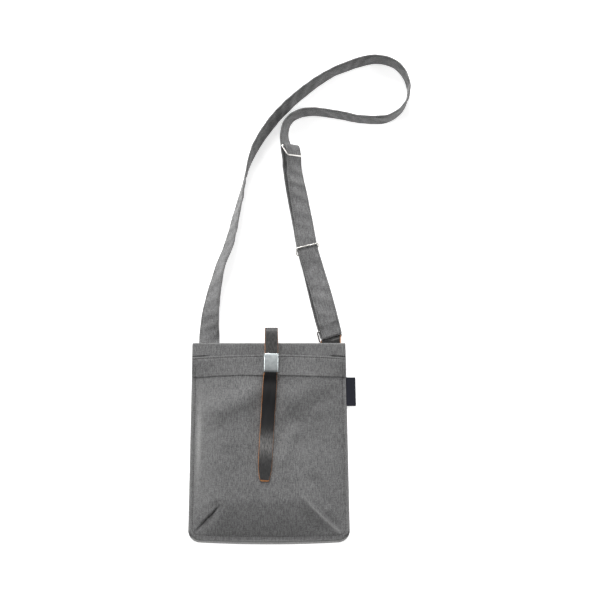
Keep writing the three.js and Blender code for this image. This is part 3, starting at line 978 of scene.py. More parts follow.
def rightCorner(x, y):
    # a crest with a narrow valley on its outer side
    away, along = besideLine(x, y, rightRidge["line"])
    width = np.where(away > 0, rightRidge["left"], rightRidge["right"]) * (1 + rightRidge["widens"] * along)
    crest = rightRidge["height"] * np.exp(-np.abs(away / width) ** rightRidge["power"])
    valley = rightRidge["valley"] * bump(away + rightRidge["valleyAway"], rightRidge["valleyReach"])
    valley = valley * (1 - smooth(along, *rightRidge["valleyEnds"]))
    return (1 - smooth(along, rightRidge["fadeFrom"], 1.0)) * (crest - valley)


def foldHeight(x, y):
    return softWaves(x, y) - sinkBelowHem(x, y) + leftCorner(x, y) + rightCorner(x, y)


def pressedBy(x, y):
    # the bottom flange is pressed thinner from its seam to its edge
    outward = np.clip((bottomSeamY - y + bottomBow(x, y)) / frontPanel["bottomFlange"], 0, 1)
    return frontPanel["pressed"] * (1 - (1 - outward) ** frontPanel["pressedPower"])


def frontFace(x, y):
    flange = backUnder(y) + bag["cloth"] + bag["gap"] + bag["cloth"] - pressedBy(x, y)
    reach = halfWidth(y) - frontPanel["inset"] - frontPanel["sideFlange"]
    across = np.clip(np.abs(x) / reach, 0, 1)
    sideRise = 1 - across ** np.where(x < 0, frontPanel["leftPower"], frontPanel["rightPower"])
    aboveSeam = y - bottomBow(x, y) - bottomSeamY
    upward = np.clip(aboveSeam / frontPanel["bottomReach"], 0, 1)
    bottomRise = 1 - (1 - upward) ** frontPanel["bottomPower"]
    toLip = smooth(y, frontPanel["topY"], frontPanel["lipMiddleY"])
    middle = blendTo(frontPanel["topZ"], frontPanel["lipZ"], toLip)
    middle = middle - frontPanel["sag"] * smooth(-y, -frontPanel["topY"], -frontPanel["sagY"])
    inside = sideRise * bottomRise
    height = blendTo(flange, middle, inside) + foldHeight(x, y) * np.sqrt(inside)
    fromSide = reach - np.abs(x)
    gatherAway = unevenness["gatherAway"]
    gatherReach = unevenness["gatherReach"]
    gatherSize = unevenness["gatherSize"]
    sidePull = bump(fromSide - gatherAway, gatherReach) * drift(0 * y, y, gatherSize, 11)
    bottomPull = bump(y - bottomSeamY - gatherAway, gatherReach) * drift(x, 0 * x, gatherSize, 12)
    dip = bump(fromSide - unevenness["dipAway"], unevenness["dipReach"])
    dip = dip + bump(aboveSeam, unevenness["dipReach"])
    height = height + unevenness["gather"] * (sidePull + bottomPull)
    height = height - unevenness["dip"] * np.minimum(dip, 1)
    waves = unevenness["wave"] * drift(x, y, unevenness["waveSize"], 13)
    waves = waves + unevenness["ripple"] * drift(x, y, unevenness["rippleSize"], 14)
    return np.maximum(height + inside * waves, flange - unevenness["deepest"])


def frontNormal(x, y):
    step = 0.4 * mm
    slopeX = (frontFace(x + step, y) - frontFace(x - step, y)) / (2 * step)
    slopeY = (frontFace(x, y + step) - frontFace(x, y - step)) / (2 * step)
    return unit(np.stack([-slopeX, -slopeY, np.ones_like(slopeX)], axis=-1))


def rowHeights(length, spacing):
    # rows close together round the bottom corners, then even
    turns = np.radians(np.arange(0, 91, 6))
    corner = bag["corner"] * (1 - np.cos(turns))
    straight = np.arange(bag["corner"], length, spacing)[1:]
    return np.concatenate([corner, straight, [length]])


# wear at the front panel's rim, and painted light: a highlight on the right ridge, light beside the left
# seam and on the left of the face
frontWearAndPaintedLight = {
    "edge": 0.5,
    "edgeReach": 1.2 * mm,
    "crest": 0.55,            # painted highlight along the right corner's ridge
    "crestAway": 0.6 * mm,
    "crestReach": 1.3 * mm,
    "crestFade": 0.6,
    "side": 0.9,              # painted light beside the left seam
    "sideAway": 5 * mm,
    "sideReach": 2.8 * mm,
    "sideY": 0.004,
    "sideLong": 0.045,
    "paintedLightLeft": 0.2,             # painted light on the left of the face
    "paintedLightLeftX": (-0.082, -0.050),
    "paintedLightLeftY": 0.010,
    "paintedLightLeftLong": 0.090,
}


def frontWearAndPaintedLightMask(x, y):
    # rim wear, with painted light on the ridge's crest, beside the left seam and on the left of the face
    edge = np.minimum(halfWidth(y) - np.abs(x), y - frontPanel["bottomY"])
    rim = frontWearAndPaintedLight["edge"] * bump(edge, frontWearAndPaintedLight["edgeReach"])
    away, along = besideLine(x, y, rightRidge["line"])
    crest = frontWearAndPaintedLight["crest"] * bump(away + frontWearAndPaintedLight["crestAway"], frontWearAndPaintedLight["crestReach"])
    crest = crest * (1 - smooth(along, frontWearAndPaintedLight["crestFade"], 1.0))
    fromSeam = halfWidth(y) - frontPanel["inset"] - frontPanel["sideFlange"] + x
    side = frontWearAndPaintedLight["side"] * bump(fromSeam - frontWearAndPaintedLight["sideAway"], frontWearAndPaintedLight["sideReach"])
    side = side * bump(y - frontWearAndPaintedLight["sideY"], frontWearAndPaintedLight["sideLong"])
    paintedLightLeft = frontWearAndPaintedLight["paintedLightLeft"] * (1 - smooth(x, *frontWearAndPaintedLight["paintedLightLeftX"]))
    paintedLightLeft = paintedLightLeft * bump(y - frontWearAndPaintedLight["paintedLightLeftY"], frontWearAndPaintedLight["paintedLightLeftLong"])
    return np.maximum.reduce([rim, crest, side]) + paintedLightLeft


def makeFrontCloth():
    length = frontPanel["lipMiddleY"] - frontPanel["insideHem"] - frontPanel["bottomY"]
    heights = rowHeights(length, frontPanel["spacing"])
    flatY = frontPanel["bottomY"] + heights
    columns = int(2 * bag["bottomHalf"] / frontPanel["spacing"])
    side = np.linspace(-1, 1, columns)
    half = halfWidth(flatY) - frontPanel["inset"] - cornerLoss(heights)
    x = half[:, None] * side[None, :]
    low = frontPanel["bottomY"] + bottomBow(x, np.full_like(x, frontPanel["bottomY"]))
    y = blendTo(low, lipEdge(x) - frontPanel["insideHem"], (heights / length)[:, None])
    upper = np.stack([x, y, frontFace(x, y)], axis=-1)
    lower = upper - (bag["cloth"] - pressedBy(x, y))[..., None] * frontNormal(x, y)
    points, faces = shell(upper, lower, frontPanel["rim"])
    uv = points[:, :2]
    wearAndPaintedLightAmount = frontWearAndPaintedLightMask(points[:, 0], points[:, 1])
    piece = addPiece("frontCloth", points, faces, [bagCloth], uv, ["front_panel"], wearAndPaintedLightAmount=wearAndPaintedLightAmount)


backPanel = {
    "spacing": 1.9 * mm,
    "lipSpacing": 0.45 * mm,  # closer rows beside the front lip
    "belowLip": 3 * mm,
    "aboveLip": 2 * mm,
    "columns": 104,
    "gutterRight": 3.2 * mm,  # the inner face dips beside the ends of the front lip
    "gutterRightX": (0.074, 0.079),
    "gutterLeft": 1.6 * mm,
    "gutterLeftX": (0.072, 0.079),
    "gutterAway": 0.55 * mm,
    "gutterReach": 0.75 * mm,
    "wave": 0.15 * mm,
    "waveSize": 22 * mm,
    "waveY": (0.085, 0.112),
    "rim": 0.7 * mm,
    "rubbedTop": 0.5,
    "wearAndHighlightReach": 1.0 * mm,
    "paintedLightBottom": 0.9,      # painted light on the rim that shows below the front panel
    "paintedLightUpTo": 6 * mm,
    "otherCloth": 0.4,        # the weave's place, away from the front panel's
}


def makeBackCloth():
    length = bag["topY"] - bag["bottomY"]
    lipFrom = frontPanel["lipSideY"] - backPanel["belowLip"]
    nearLip = np.arange(lipFrom, frontPanel["lipMiddleY"] + backPanel["aboveLip"], backPanel["lipSpacing"])
    heights = np.append(rowHeights(length, backPanel["spacing"]), nearLip - bag["bottomY"])
    heights = np.unique(np.round(heights, 5))
    flatY = bag["bottomY"] + heights
    side = np.linspace(-1, 1, backPanel["columns"])
    half = halfWidth(flatY) - cornerLoss(heights)
    x = half[:, None] * side[None, :]
    y = flatY[:, None] + bottomBow(x, flatY[:, None] + 0 * x)
    under = backUnder(y)
    ends = backPanel["gutterRight"] * smooth(x, *backPanel["gutterRightX"])
    ends = ends + backPanel["gutterLeft"] * smooth(-x, *backPanel["gutterLeftX"])
    gutter = ends * bump(y - lipEdge(x) - backPanel["gutterAway"], backPanel["gutterReach"])
    wave = backPanel["wave"] * drift(x, y, backPanel["waveSize"], 21) * smooth(y, *backPanel["waveY"])
    upper = np.stack([x, y, under + bag["cloth"] + wave - gutter], axis=-1)
    lower = np.stack([x, y, under - gutter], axis=-1)
    points, faces = shell(upper, lower, backPanel["rim"])
    uv = points[:, :2] + backPanel["otherCloth"]
    wearAndPaintedLightAmount = backPanel["rubbedTop"] * bump(bag["topY"] - points[:, 1], backPanel["wearAndHighlightReach"])
    # the rim below the front panel is painted lighter, standing in for light on it
    atBottom = points[:, 1] < frontPanel["bottomY"] + backPanel["paintedLightUpTo"]
    wearAndPaintedLightAmount = wearAndPaintedLightAmount + backPanel["paintedLightBottom"] * atBottom
    piece = addPiece("backCloth", points, faces, [bagCloth], uv, ["back_panel"], wearAndPaintedLightAmount=wearAndPaintedLightAmount)


hemBand = {
    "thick": 0.95 * mm,
    "over": 1.4 * mm,         # outer face above the panel's own face
    "under": 0.06 * mm,
    "underFrom": 1.0 * mm,
    "inside": 9.0 * mm,       # turned in behind the lip
    "insideGap": 0.1 * mm,
    "endGap": 0.2 * mm,
    "endShare": 0.75,         # the ends thin down where they are caught in the side seams
    "endReach": (0.6 * mm, 5 * mm),
    "wobble": 0.28 * mm,
    "wobbleSize": 26 * mm,
    "wave": 0.14 * mm,
    "waveSize": 13 * mm,
    # wear and a painted highlight along the lip
    "lipWearAndHighlight": 0.15,
    "lipWearAndHighlightReach": 0.8 * mm,
    "rubbedHem": 0.35,
    "rubbedHemReach": 0.7 * mm,
    "outside": 0.3 * mm,      # points higher than this show
    "turnedUv": 0.035,
    "columns": 170,
}


def hemSection():
    # places along Y from the hem or from the lip, and heights off the panel
    over = hemBand["over"]
    under = hemBand["under"]
    inner = -bag["cloth"] - hemBand["insideGap"]
    deep = inner - hemBand["thick"]
    inside = hemBand["inside"]
    hem = [
        (0.0, under),
        (-0.35 * mm, 0.55 * mm),
        (-0.2 * mm, 1.15 * mm),
        (0.5 * mm, over),
        (2.0 * mm, over),
    ]
    lip = [
        (-2.9 * mm, over),
        (-2.3 * mm, over - 0.35 * mm),    # dip along the stitches
        (-1.7 * mm, over),
        (-0.8 * mm, over),
        (-0.22 * mm, over - 0.06 * mm),
        (-0.02 * mm, over - 0.35 * mm),
        (0.0, -0.5 * mm),
        (-0.2 * mm, inner - 0.1 * mm),
        (-0.9 * mm, deep),
        (-2.5 * mm, deep),
        (-inside, deep),
        (-inside - 0.3 * mm, deep + 0.45 * mm),
        (-inside, inner),
        (-2.5 * mm, inner),
        (-1.25 * mm, -0.8 * mm),
        (-2.2 * mm, under),
    ]
    return hem, lip


def makeHemBand():
    # strip folded over the lip, its section going round from the hem over the lip and back
    hem, lip = hemSection()
    halfSpan = halfWidth(frontPanel["hemSideY"]) - frontPanel["inset"] - hemBand["endGap"]
    x = np.linspace(-1, 1, hemBand["columns"]) * halfSpan
    hemY = hemEdge(x) + hemBand["wobble"] * drift(x, 0 * x, hemBand["wobbleSize"], 31)
    lipY = lipEdge(x)
    rings = [(hemY + away, off + 0 * x) for away, off in hem]
    for share in (0.22, 0.36, 0.5, 0.64, 0.78, 0.9):
        y = blendTo(hemY + hem[-1][0], lipY + lip[0][0], share)
        rings.append((y, hemBand["over"] + hemBand["wave"] * drift(x, y, hemBand["waveSize"], 32)))
    rings += [(lipY + away, off + 0 * x) for away, off in lip]
    for share in (0.7, 0.4):
        y = blendTo(hemY + hemBand["underFrom"], lipY + lip[-1][0], share)
        rings.append((y, hemBand["under"] + 0 * x))
    y = np.stack([ring[0] for ring in rings], axis=1)
    off = np.stack([ring[1] for ring in rings], axis=1)
    x = np.repeat(x[:, None], y.shape[1], axis=1)
    thin = smooth(halfWidth(y) - np.abs(x), *hemBand["endReach"])
    off = np.where(off > 0, off * blendTo(hemBand["endShare"], 1.0, thin), off)
    base = np.stack([x, y, frontFace(x, y)], axis=-1)
    points, faces = loft(base + frontNormal(x, y) * off[..., None])
    uv = np.stack([x.ravel(), (y + np.where(off < 0, hemBand["turnedUv"], 0)).ravel()], axis=1)
    # wear and a painted highlight along the lip, wear along the hem
    wearAndPaintedLightAmount = hemBand["lipWearAndHighlight"] * bump(lipY[:, None] - y, hemBand["lipWearAndHighlightReach"])
    atHem = hemBand["rubbedHem"] * bump(y - hemY[:, None], hemBand["rubbedHemReach"])
    wearAndPaintedLightAmount = wearAndPaintedLightAmount + atHem * (off > hemBand["outside"])
    piece = addPiece(
        "hemBand", points, faces, [bagCloth], uv, ["front_panel"], wearAndPaintedLightAmount=wearAndPaintedLightAmount.ravel()
    )


makeBackCloth()
makeFrontCloth()
makeHemBand()
print("bag panels made")


# stitches: short dips of thread, joined into one mesh a seam

stitch = {
    "pitch": 2.4 * mm,
    "length": 1.6 * mm,
    "radius": 0.36 * mm,
    "sides": 6,
    "flangeIn": 0.5 * mm,     # seam stitches lie this far out from the flange's fold
    "belowHem": 1.5 * mm,
    "corner": 9 * mm,
    "lipHalf": 0.092,
    "lipIn": 2.3 * mm,
    "lipSunk": 0.28 * mm,
    "keeperX": 0.0024,
    "keeperClear": 10 * mm,
    "strapPitch": 1.1,        # longer steps on the shoulder strap
}
# along one stitch: place, thickness and height of the thread
stitchRings = [
    (-0.5, 0.12, -0.55),
    (-0.36, 0.8, 0.0),
    (0.0, 1.0, 0.25),
    (0.36, 0.8, 0.0),
    (0.5, 0.12, -0.55),
]


def addStitches(name, places, along, normals, slotName):
    along = unit(along)
    normals = unit(normals - along * np.sum(normals * along, axis=1, keepdims=True))
    across = np.cross(along, normals)
    sides = stitch["sides"]
    parts = []
    for share, fat, rise in stitchRings:
        for k in range(sides):
            turn = 2 * math.pi * k / sides
            spot = places + along * share * stitch["length"]
            spot = spot + normals * stitch["radius"] * (rise + fat * math.sin(turn))
            parts.append(spot + across * stitch["radius"] * fat * math.cos(turn))
    points = np.stack(parts, axis=1)
    count, each = points.shape[:2]
    oneFaces = loft(points[0].reshape(len(stitchRings), sides, 3))[1]
    faces = [[corner + each * i for corner in face] for i in range(count) for face in oneFaces]
    order = np.arange(count * each)
    flat = np.stack([order % each * 0.1 * mm, order * 0.01 * mm], axis=1)
    addPiece(name, points.reshape(-1, 3), faces, [thread], flat)


def evenly(points, pitch):
    # spots every pitch along a line of points, with the line's direction there
    steps = np.linalg.norm(np.diff(points, axis=0), axis=1)
    done = np.append(0, np.cumsum(steps))
    spots = np.arange(pitch / 2, done[-1], pitch)
    placed = np.stack([np.interp(spots, done, points[:, k]) for k in range(3)], axis=1)
    ahead = np.stack([np.interp(spots + pitch / 4, done, points[:, k]) for k in range(3)], axis=1)
    behind = np.stack([np.interp(spots - pitch / 4, done, points[:, k]) for k in range(3)], axis=1)
    return placed, ahead - behind


def frontSeam(x, y):
    places, along = evenly(np.stack([x, y, frontFace(x, y)], axis=1), stitch["pitch"])
    return places, along, frontNormal(places[:, 0], places[:, 1])


def makeBagStitches():
    fromEdge = frontPanel["inset"] + frontPanel["sideFlange"] - stitch["flangeIn"]
    corner = stitch["corner"]
    cornerY = bottomSeamY + corner
    seams = []
    for sign in (-1, 1):
        y = np.linspace(cornerY, frontPanel["hemSideY"] - stitch["belowHem"], 120)
        seams.append(frontSeam(sign * (halfWidth(y) - fromEdge), y))
    # the bottom seam with its two round corners
    turns = np.radians(np.linspace(0, 90, 16))
    cornerX = halfWidth(bottomSeamY) - fromEdge - corner
    left = np.stack([-cornerX - corner * np.cos(turns), cornerY - corner * np.sin(turns)], axis=1)
    right = np.stack([cornerX + corner * np.sin(turns), cornerY - corner * np.cos(turns)], axis=1)
    line = np.concatenate([left, right])
    shares = np.linspace(0, 1, 400)
    known = np.linspace(0, 1, len(line))
    x = np.interp(shares, known, line[:, 0])
    y = np.interp(shares, known, line[:, 1])
    seams.append(frontSeam(x, y + bottomBow(x, y)))
    places, along, normals = (np.concatenate(part) for part in zip(*seams))
    addStitches("seamStitches", places, along, normals, "bag_cloth")

    # the row below the lip stops at the keeper
    x = np.linspace(-stitch["lipHalf"], stitch["lipHalf"], 300)
    clear = np.abs(x - stitch["keeperX"]) > stitch["keeperClear"]
    for name, x in (("lipStitchesLeft", x[clear & (x < 0)]), ("lipStitchesRight", x[clear & (x > 0)])):
        places, along, normals = frontSeam(x, lipEdge(x) - stitch["lipIn"])
        places = places + normals * (hemBand["over"] - stitch["lipSunk"])
        addStitches(name, places, along, normals, "bag_cloth")


makeBagStitches()
print("bag stitches made")


# closure strap of black leather with raw cut edges

closure = {
    "thick": 2.0 * mm,
    "tailX": 0.0028,
    "tailY": 0.107,
    "behindX": 0.0029,
    "behindY": 0.115,
    "bendX": 0.0030,
    "bendY": 0.1422,
    "bendFrom": 1.5 * mm,     # above the top edge of the back panel
    "bendHalf": 0.0081,
    "keeperX": 0.0020,
    "keeperHalf": 0.0080,
    "frontFrom": 0.4,         # share of its rows that lie behind the bag
    "tipY": -0.0459,
    "tipRound": 2.2 * mm,
    "tipSquare": 0.8,
    "tipDrop": 1.0 * mm,
    "bevelLeft": 0.55 * mm,   # cut edge that shows from above
    "bevelRight": 0.25 * mm,
    "bevelTip": 1.7 * mm,
    "lieOver": 0.35 * mm,
    # painted sheen where the strap curves over the bag and on its loop at the top; a plain lighter tone
    # below the bag's middle
    "highlightY": -0.0015,
    "wearAndHighlightReach": 0.0145,
    "lighterLow": 0.15,
    "lighterLowY": (0.01, 0.03),    # below the bag's middle
    "sheenBend": 0.42,
    "stepsPerRow": 8,
}

# where it lies on the front panel: height, centre, half width
closureRows = [
    (0.076, 0.0012, 0.0085),
    (0.062, 0.0004, 0.0086),
    (0.040, -0.0010, 0.0086),
    (0.010, -0.0028, 0.0086),
    (-0.014, -0.0042, 0.0086),
    (-0.025, -0.0046, 0.0085),
    (-0.036, -0.0051, 0.0075),
    (-0.0425, -0.0053, 0.0062),
    (-0.0459, -0.0055, 0.0054),
]
keeperLow, keeperHigh = (np.array(corner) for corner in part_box("keeper"))
keeperMiddle = (keeperLow + keeperHigh) / 2

# a leather strap's edges: middle of the cut side, bevel below the grain, corner above the flesh side
leatherEdge = {
    "sideZ": 0.1,
    "sideDrop": 0.6,
    "bevel": 0.45,
    "bevelDrop": 0.25 * mm,
    "underIn": 0.25 * mm,
    "underUp": 0.3 * mm,
    "crisp": 35,
}


def leatherSection(half, halfThick, bevelLeft, bevelRight, topDrop=0.0):
    # points round the strap, and which face runs from each point to the next: 0 grain, 1 cut edge, 2 flesh
    top = halfThick - topDrop
    side = halfThick * leatherEdge["sideZ"] - topDrop * leatherEdge["sideDrop"]
    bevelZ = top - leatherEdge["bevelDrop"]
    bottom = -halfThick + leatherEdge["underUp"]
    underHalf = half - leatherEdge["underIn"]
    ring = []
    for share in np.linspace(0, 1, 7):
        ring.append((blendTo(-half + bevelLeft, half - bevelRight, share), top, 0))
    ring[-1] = (*ring[-1][:2], 1)
    ring += [(half - leatherEdge["bevel"] * bevelRight, bevelZ, 1), (half, side, 1), (half, bottom, 1)]
    for share in np.linspace(0, 1, 5):
        ring.append((blendTo(underHalf, -underHalf, share), -halfThick, 2))
    ring[-1] = (*ring[-1][:2], 1)
    ring += [(-half, bottom, 1), (-half, side, 1), (-half + leatherEdge["bevel"] * bevelLeft, bevelZ, 1)]
    return np.array(ring)


def closureCentres():
    halfThick = closure["thick"] / 2
    tailZ = bag["lift"] - bag["gap"] - halfThick
    keeperZ = keeperMiddle[2]
    bendFrom = bag["topY"] + closure["bendFrom"]
    reach = closure["bendY"] - halfThick - bendFrom
    half = closure["bendHalf"]
    rows = [(closure["tailX"], closure["tailY"], tailZ, half)]
    rows.append((closure["behindX"], closure["behindY"], tailZ, half))
    # flat above and below, bent tightly at the end
    for turn in np.radians(np.arange(-90, 91, 15)):
        z = blendTo(tailZ, keeperZ, (1 + math.copysign(math.sqrt(abs(math.sin(turn))), turn)) / 2)
        rows.append((closure["bendX"], bendFrom + reach * math.sqrt(max(math.cos(turn), 0)), z, half))
    rows.append((closure["bendX"], keeperHigh[1], keeperZ, half))
    rows.append((keeperMiddle[0], keeperMiddle[1], keeperZ, closure["keeperHalf"]))
    rows.append((closure["keeperX"], keeperLow[1], keeperZ, closure["keeperHalf"]))
    for y, x, half in closureRows:
        spread = x + half * np.linspace(-1, 1, 7)
        z = frontFace(spread, np.full(7, y)).max() + closure["lieOver"] + halfThick
        rows.append((x, y, z, half))
    return rows


def makeClosureStrap():
    rows = closureCentres()
    last = len(rows) - 1
    places = np.append(np.arange(0, last, 1 / closure["stepsPerRow"]), last)
    centres = np.array([rowAt(rows, place) for place in places])
    arc = np.append(0, np.cumsum(np.linalg.norm(np.diff(centres[:, :3], axis=0), axis=1)))
    tipRound = closure["tipRound"]
    bevelTip = closure["bevelTip"]
    sections = []
    looks = []
    wearAndPaintedLightAmount = []
    uv = []
    for i, (x, y, z, half) in enumerate(centres):
        ahead = centres[min(i + 1, len(centres) - 1), :3]
        behind = centres[max(i - 1, 0), :3]
        along = unit(ahead - behind)
        across = unit(np.array([1.0, 0, 0]) - along * along[0])
        normal = np.cross(along, across)    # out of the loop, the grain side
        onFront = i > len(centres) * closure["frontFrom"] and y < keeperMiddle[1]
        # the tip is cut square with small round corners, and bevelled
        toTip = y - closure["tipY"] if onFront else 1.0
        near = max(tipRound - toTip, 0)
        half = half - (tipRound - math.sqrt(max(tipRound ** 2 - near ** 2, 0))) * closure["tipSquare"]
        drop = closure["tipDrop"] * max(1 - toTip / bevelTip, 0)
        ring = leatherSection(half, closure["thick"] / 2, closure["bevelLeft"], closure["bevelRight"], drop)
        sections.append(np.array([x, y, z]) + ring[:, :1] * across + ring[:, 1:2] * normal)
        bevelled = (ring[:, 2] == 0) & (toTip < bevelTip - 0.01 * mm)
        # painted sheen on the loop and where it curves over the bag, lighter below the bag's middle
        looks.append(np.where(bevelled, 1, ring[:, 2]))
        paintedSheenAndTone = closure["sheenBend"]
        if onFront:
            paintedSheenAndTone = bump(y - closure["highlightY"], closure["wearAndHighlightReach"])
            paintedSheenAndTone = paintedSheenAndTone + closure["lighterLow"] * smooth(-y, *closure["lighterLowY"])
        wearAndPaintedLightAmount.append(np.full(len(ring), paintedSheenAndTone))
        uv.append(np.stack([ring[:, 0], np.full(len(ring), arc[i])], axis=1))
    points, faces = loft(np.array(sections))
    faceLook = np.concatenate([np.concatenate(looks[1:]), [1, 1]])
    addPiece(
        "closureStrap", points, faces, [blackLeather, cutEdge, fleshSide], np.concatenate(uv),
        ["leather_strap"], faceLook=faceLook, wearAndPaintedLightAmount=np.concatenate(wearAndPaintedLightAmount),
        crisp=leatherEdge["crisp"],
    )


makeClosureStrap()
print("closure strap made")


# keeper: satin sheet sleeve round the closure strap

sleeve = {
    "sheet": 0.75 * mm,
    "corner": 1.75 * mm,
    "turn": math.radians(-1.2),
    "endRound": 0.28 * mm,
    "endIn": 0.08 * mm,
    "endThin": 0.1 * mm,
    "narrower": 0.7 * mm,
    "bow": 0.7 * mm,
}


def roundedLoop(width, height, corner, perCorner):
    spots = []
    for cx, cz, start in ((1, -1, -90), (1, 1, 0), (-1, 1, 90), (-1, -1, 180)):
        for turn in np.radians(np.linspace(start, start + 90, perCorner)):
            x = cx * (width / 2 - corner) + corner * math.cos(turn)
            z = cz * (height / 2 - corner) + corner * math.sin(turn)
            spots.append((x, z, math.cos(turn), math.sin(turn)))
    return np.array(spots)


def makeKeeper():
    width, length, height = keeperHigh - keeperLow - np.array([sleeve["narrower"], 0, 0])
    half = sleeve["sheet"] / 2
    loop = roundedLoop(width - 2 * half, height - 2 * half, sleeve["corner"] - half, 9)
    # wall section: place along the sleeve, and out from the sheet's middle
    tip = length / 2
    ends = tip - sleeve["endRound"]
    roundIn = tip - sleeve["endIn"]
    roundOut = half - sleeve["endThin"]
    cut = [(roundIn, roundOut), (tip, 0), (roundIn, -roundOut)]
    wall = [(share * ends, half) for share in np.linspace(-1, 1, 9)] + cut
    wall += [(-y, -out) for y, out in wall]
    wall = np.array(wall)
    sections = []
    uv = []
    arc = np.append(0, np.cumsum(np.linalg.norm(np.diff(loop[:, :2], axis=0), axis=1)))
    for (x, z, outX, outZ), s in zip(loop, arc):
        y, out = wall.T
        bowed = sleeve["bow"] * (y / tip) ** 2 * (z > 0)
        sections.append(np.stack([x + outX * out, y, z + outZ * out - bowed], axis=1))
        uv.append(np.stack([y, np.full(len(wall), s)], axis=1))
    points, faces = loft(np.array(sections), closedPath=True)
    turned = points.copy()
    turned[:, 0] = points[:, 0] * math.cos(sleeve["turn"]) - points[:, 1] * math.sin(sleeve["turn"])
    turned[:, 1] = points[:, 0] * math.sin(sleeve["turn"]) + points[:, 1] * math.cos(sleeve["turn"])
    placed = turned + keeperMiddle + np.array([sleeve["narrower"] / 2, 0, 0])
    addPiece("keeperSleeve", placed, faces, [satinSteel], np.concatenate(uv), ["keeper"])


makeKeeper()
print("keeper made")


# shoulder strap: flat cloth, sewn along both edges

strap = {
    "halfWidth": 12.5 * mm,
    "halfThick": 1.0 * mm,
    "bottomLoop": 2.05 * mm,
    "topFold": 1.15 * mm,
    "topSlant": 0.22,
    "tailRows": 1.2,          # rows of the route that the folded end reaches down
    "stitchIn": 2.2 * mm,
    "sewnDip": 0.28 * mm,
    "sewnReach": 0.5 * mm,
    "sewnHalf": 0.6 * mm,
    "pucker": 0.20 * mm,
    "puckerSize": 12 * mm,
    "puckerFrom": 0.45,       # share of the half width
    "wave": 0.06 * mm,
    "waveSize": 14 * mm,
    "rope": 0.95 * mm,        # slanting ridges that the sewing pulls into it
    "ropePitch": 18 * mm,
    "ropeSlant": 0.5,
    "ropeFrom": 0.55,
    "ropeShift": 1.6,
    "ropeShiftSize": 70 * mm,
    "ropeMean": 0.7,
    "ropeFade": 0.3,
    "ropeFadeSize": 45 * mm,
    "ropeOver": 0.5,          # rise of the ridges on the upper of two layers
    # wear and a painted highlight on the ridges' crests
    "ropeWearAndHighlight": 0.4,
    "edgeWorn": 0.12,
    "edgeWornIn": 1.2 * mm,
    "freeRows": (1.6, 3),
    "heldRows": 2,
    "heldAtY": (0.3534, 0.2420, 0.147, 0.137),    # where wire holds it flat
    "heldReach": 7 * mm,
    "floorGap": 0.02 * mm,
    "otherCloth": 0.2,        # the weave's place, away from the bag's
    "stepsPerRow": 10,
}

# route of its middle: x, y, lean of its width in degrees, lift, distance to the second layer
strapRoute = [
    (-0.0730, 0.1060, 0, 0.0034, 0),
    (-0.0730, 0.1160, 0, 0.0034, 0),
    (-0.0730, 0.1260, 0, 0.0028, 0),
    (-0.0724, 0.1450, 24, 0.0006, 0),
    (-0.0707, 0.1640, 37, 0.00005, 0),
    (-0.0676, 0.1820, 48, 0.00005, 0),
    (-0.0637, 0.2000, 58, 0.00005, 0),
    (-0.0576, 0.2220, 66, 0.00005, 0),
    (-0.0494, 0.2420, 65, 0.00005, 0),
    (-0.0442, 0.2610, 68, 0.00005, 0),
    (-0.0388, 0.2840, 74, 0.00005, 0),
    (-0.0334, 0.3050, 80, 0.00005, 0),
    (-0.0284, 0.3270, 90, 0.00005, 0),
    (-0.0233, 0.3460, 100, 0.00005, 0),
    (-0.0152, 0.3650, 110, 0.00005, 0),
    (-0.0037, 0.3830, 115, 0.00005, 0),
    (0.0093, 0.3997, 117, 0.00005, 0),
    (0.0229, 0.4137, 117, 0.00005, 0),
    (0.0366, 0.4260, 116, 0.00005, 0),
    (0.0512, 0.4374, 115, 0.00005, 0),
    (0.0660, 0.4475, 113, 0.00005, 0),
    (0.0811, 0.4557, 112, 0.00005, 0),
    (0.0965, 0.4618, 113, 0.00005, 0),
    (0.1115, 0.4670, 114, 0.00005, 0),
    (0.1262, 0.4699, 113, 0.00005, 0),
    (0.1408, 0.4691, 112, 0.00005, 0),
    (0.1540, 0.4640, 110, 0.00005, 0),
    (0.1646, 0.4536, 105, 0.00005, 0),
    (0.1700, 0.4400, 99, 0.00005, 0),
    (0.1705, 0.4270, 93, 0.00005, 0),
    (0.1665, 0.4160, 86, 0.00005, 0),
    (0.1585, 0.4055, 78, 0.00005, 0),
    (0.1460, 0.3980, 72, 0.00005, 0),
    (0.1299, 0.3960, 70, 0.00005, 0),
    (0.1115, 0.3970, 71, 0.00005, 0),
    (0.0932, 0.4005, 70, 0.00005, 0),
    (0.0747, 0.4040, 70, 0.00005, 0),
    (0.0564, 0.4060, 69, 0.00005, 0),
    (0.0419, 0.4050, 68, 0.00005, 0),
    (0.0295, 0.4000, 68, 0.0002, 0),
    (0.0220, 0.3915, 69, 0.0008, 0),
    (0.0190, 0.3816, 69, 0.0018, 0),
    (0.0190, 0.3720, 66, 0.0026, 0),
    (0.0210, 0.3625, 60, 0.0029, 0.0088),
    (0.0239, 0.3485, 54, 0.0026, 0.0076),
    (0.0260, 0.3330, 48, 0.0012, 0.0064),
    (0.0325, 0.3030, 36, 0.0003, 0.0045),
    (0.0394, 0.2726, 26, 0.0012, 0.0034),
    (0.0455, 0.2410, 20, 0.0028, 0.0030),
    (0.0537, 0.2125, 10, 0.0012, 0.0040),
    (0.0616, 0.1800, 4, 0.0001, 0.0076),
    (0.0690, 0.1510, 0, 0.00005, 0.0084),
    (0.0719, 0.1418, 0, 0.0002, 0.0064),
    (0.0747, 0.1326, 0, 0.0014, 0.0041),
]
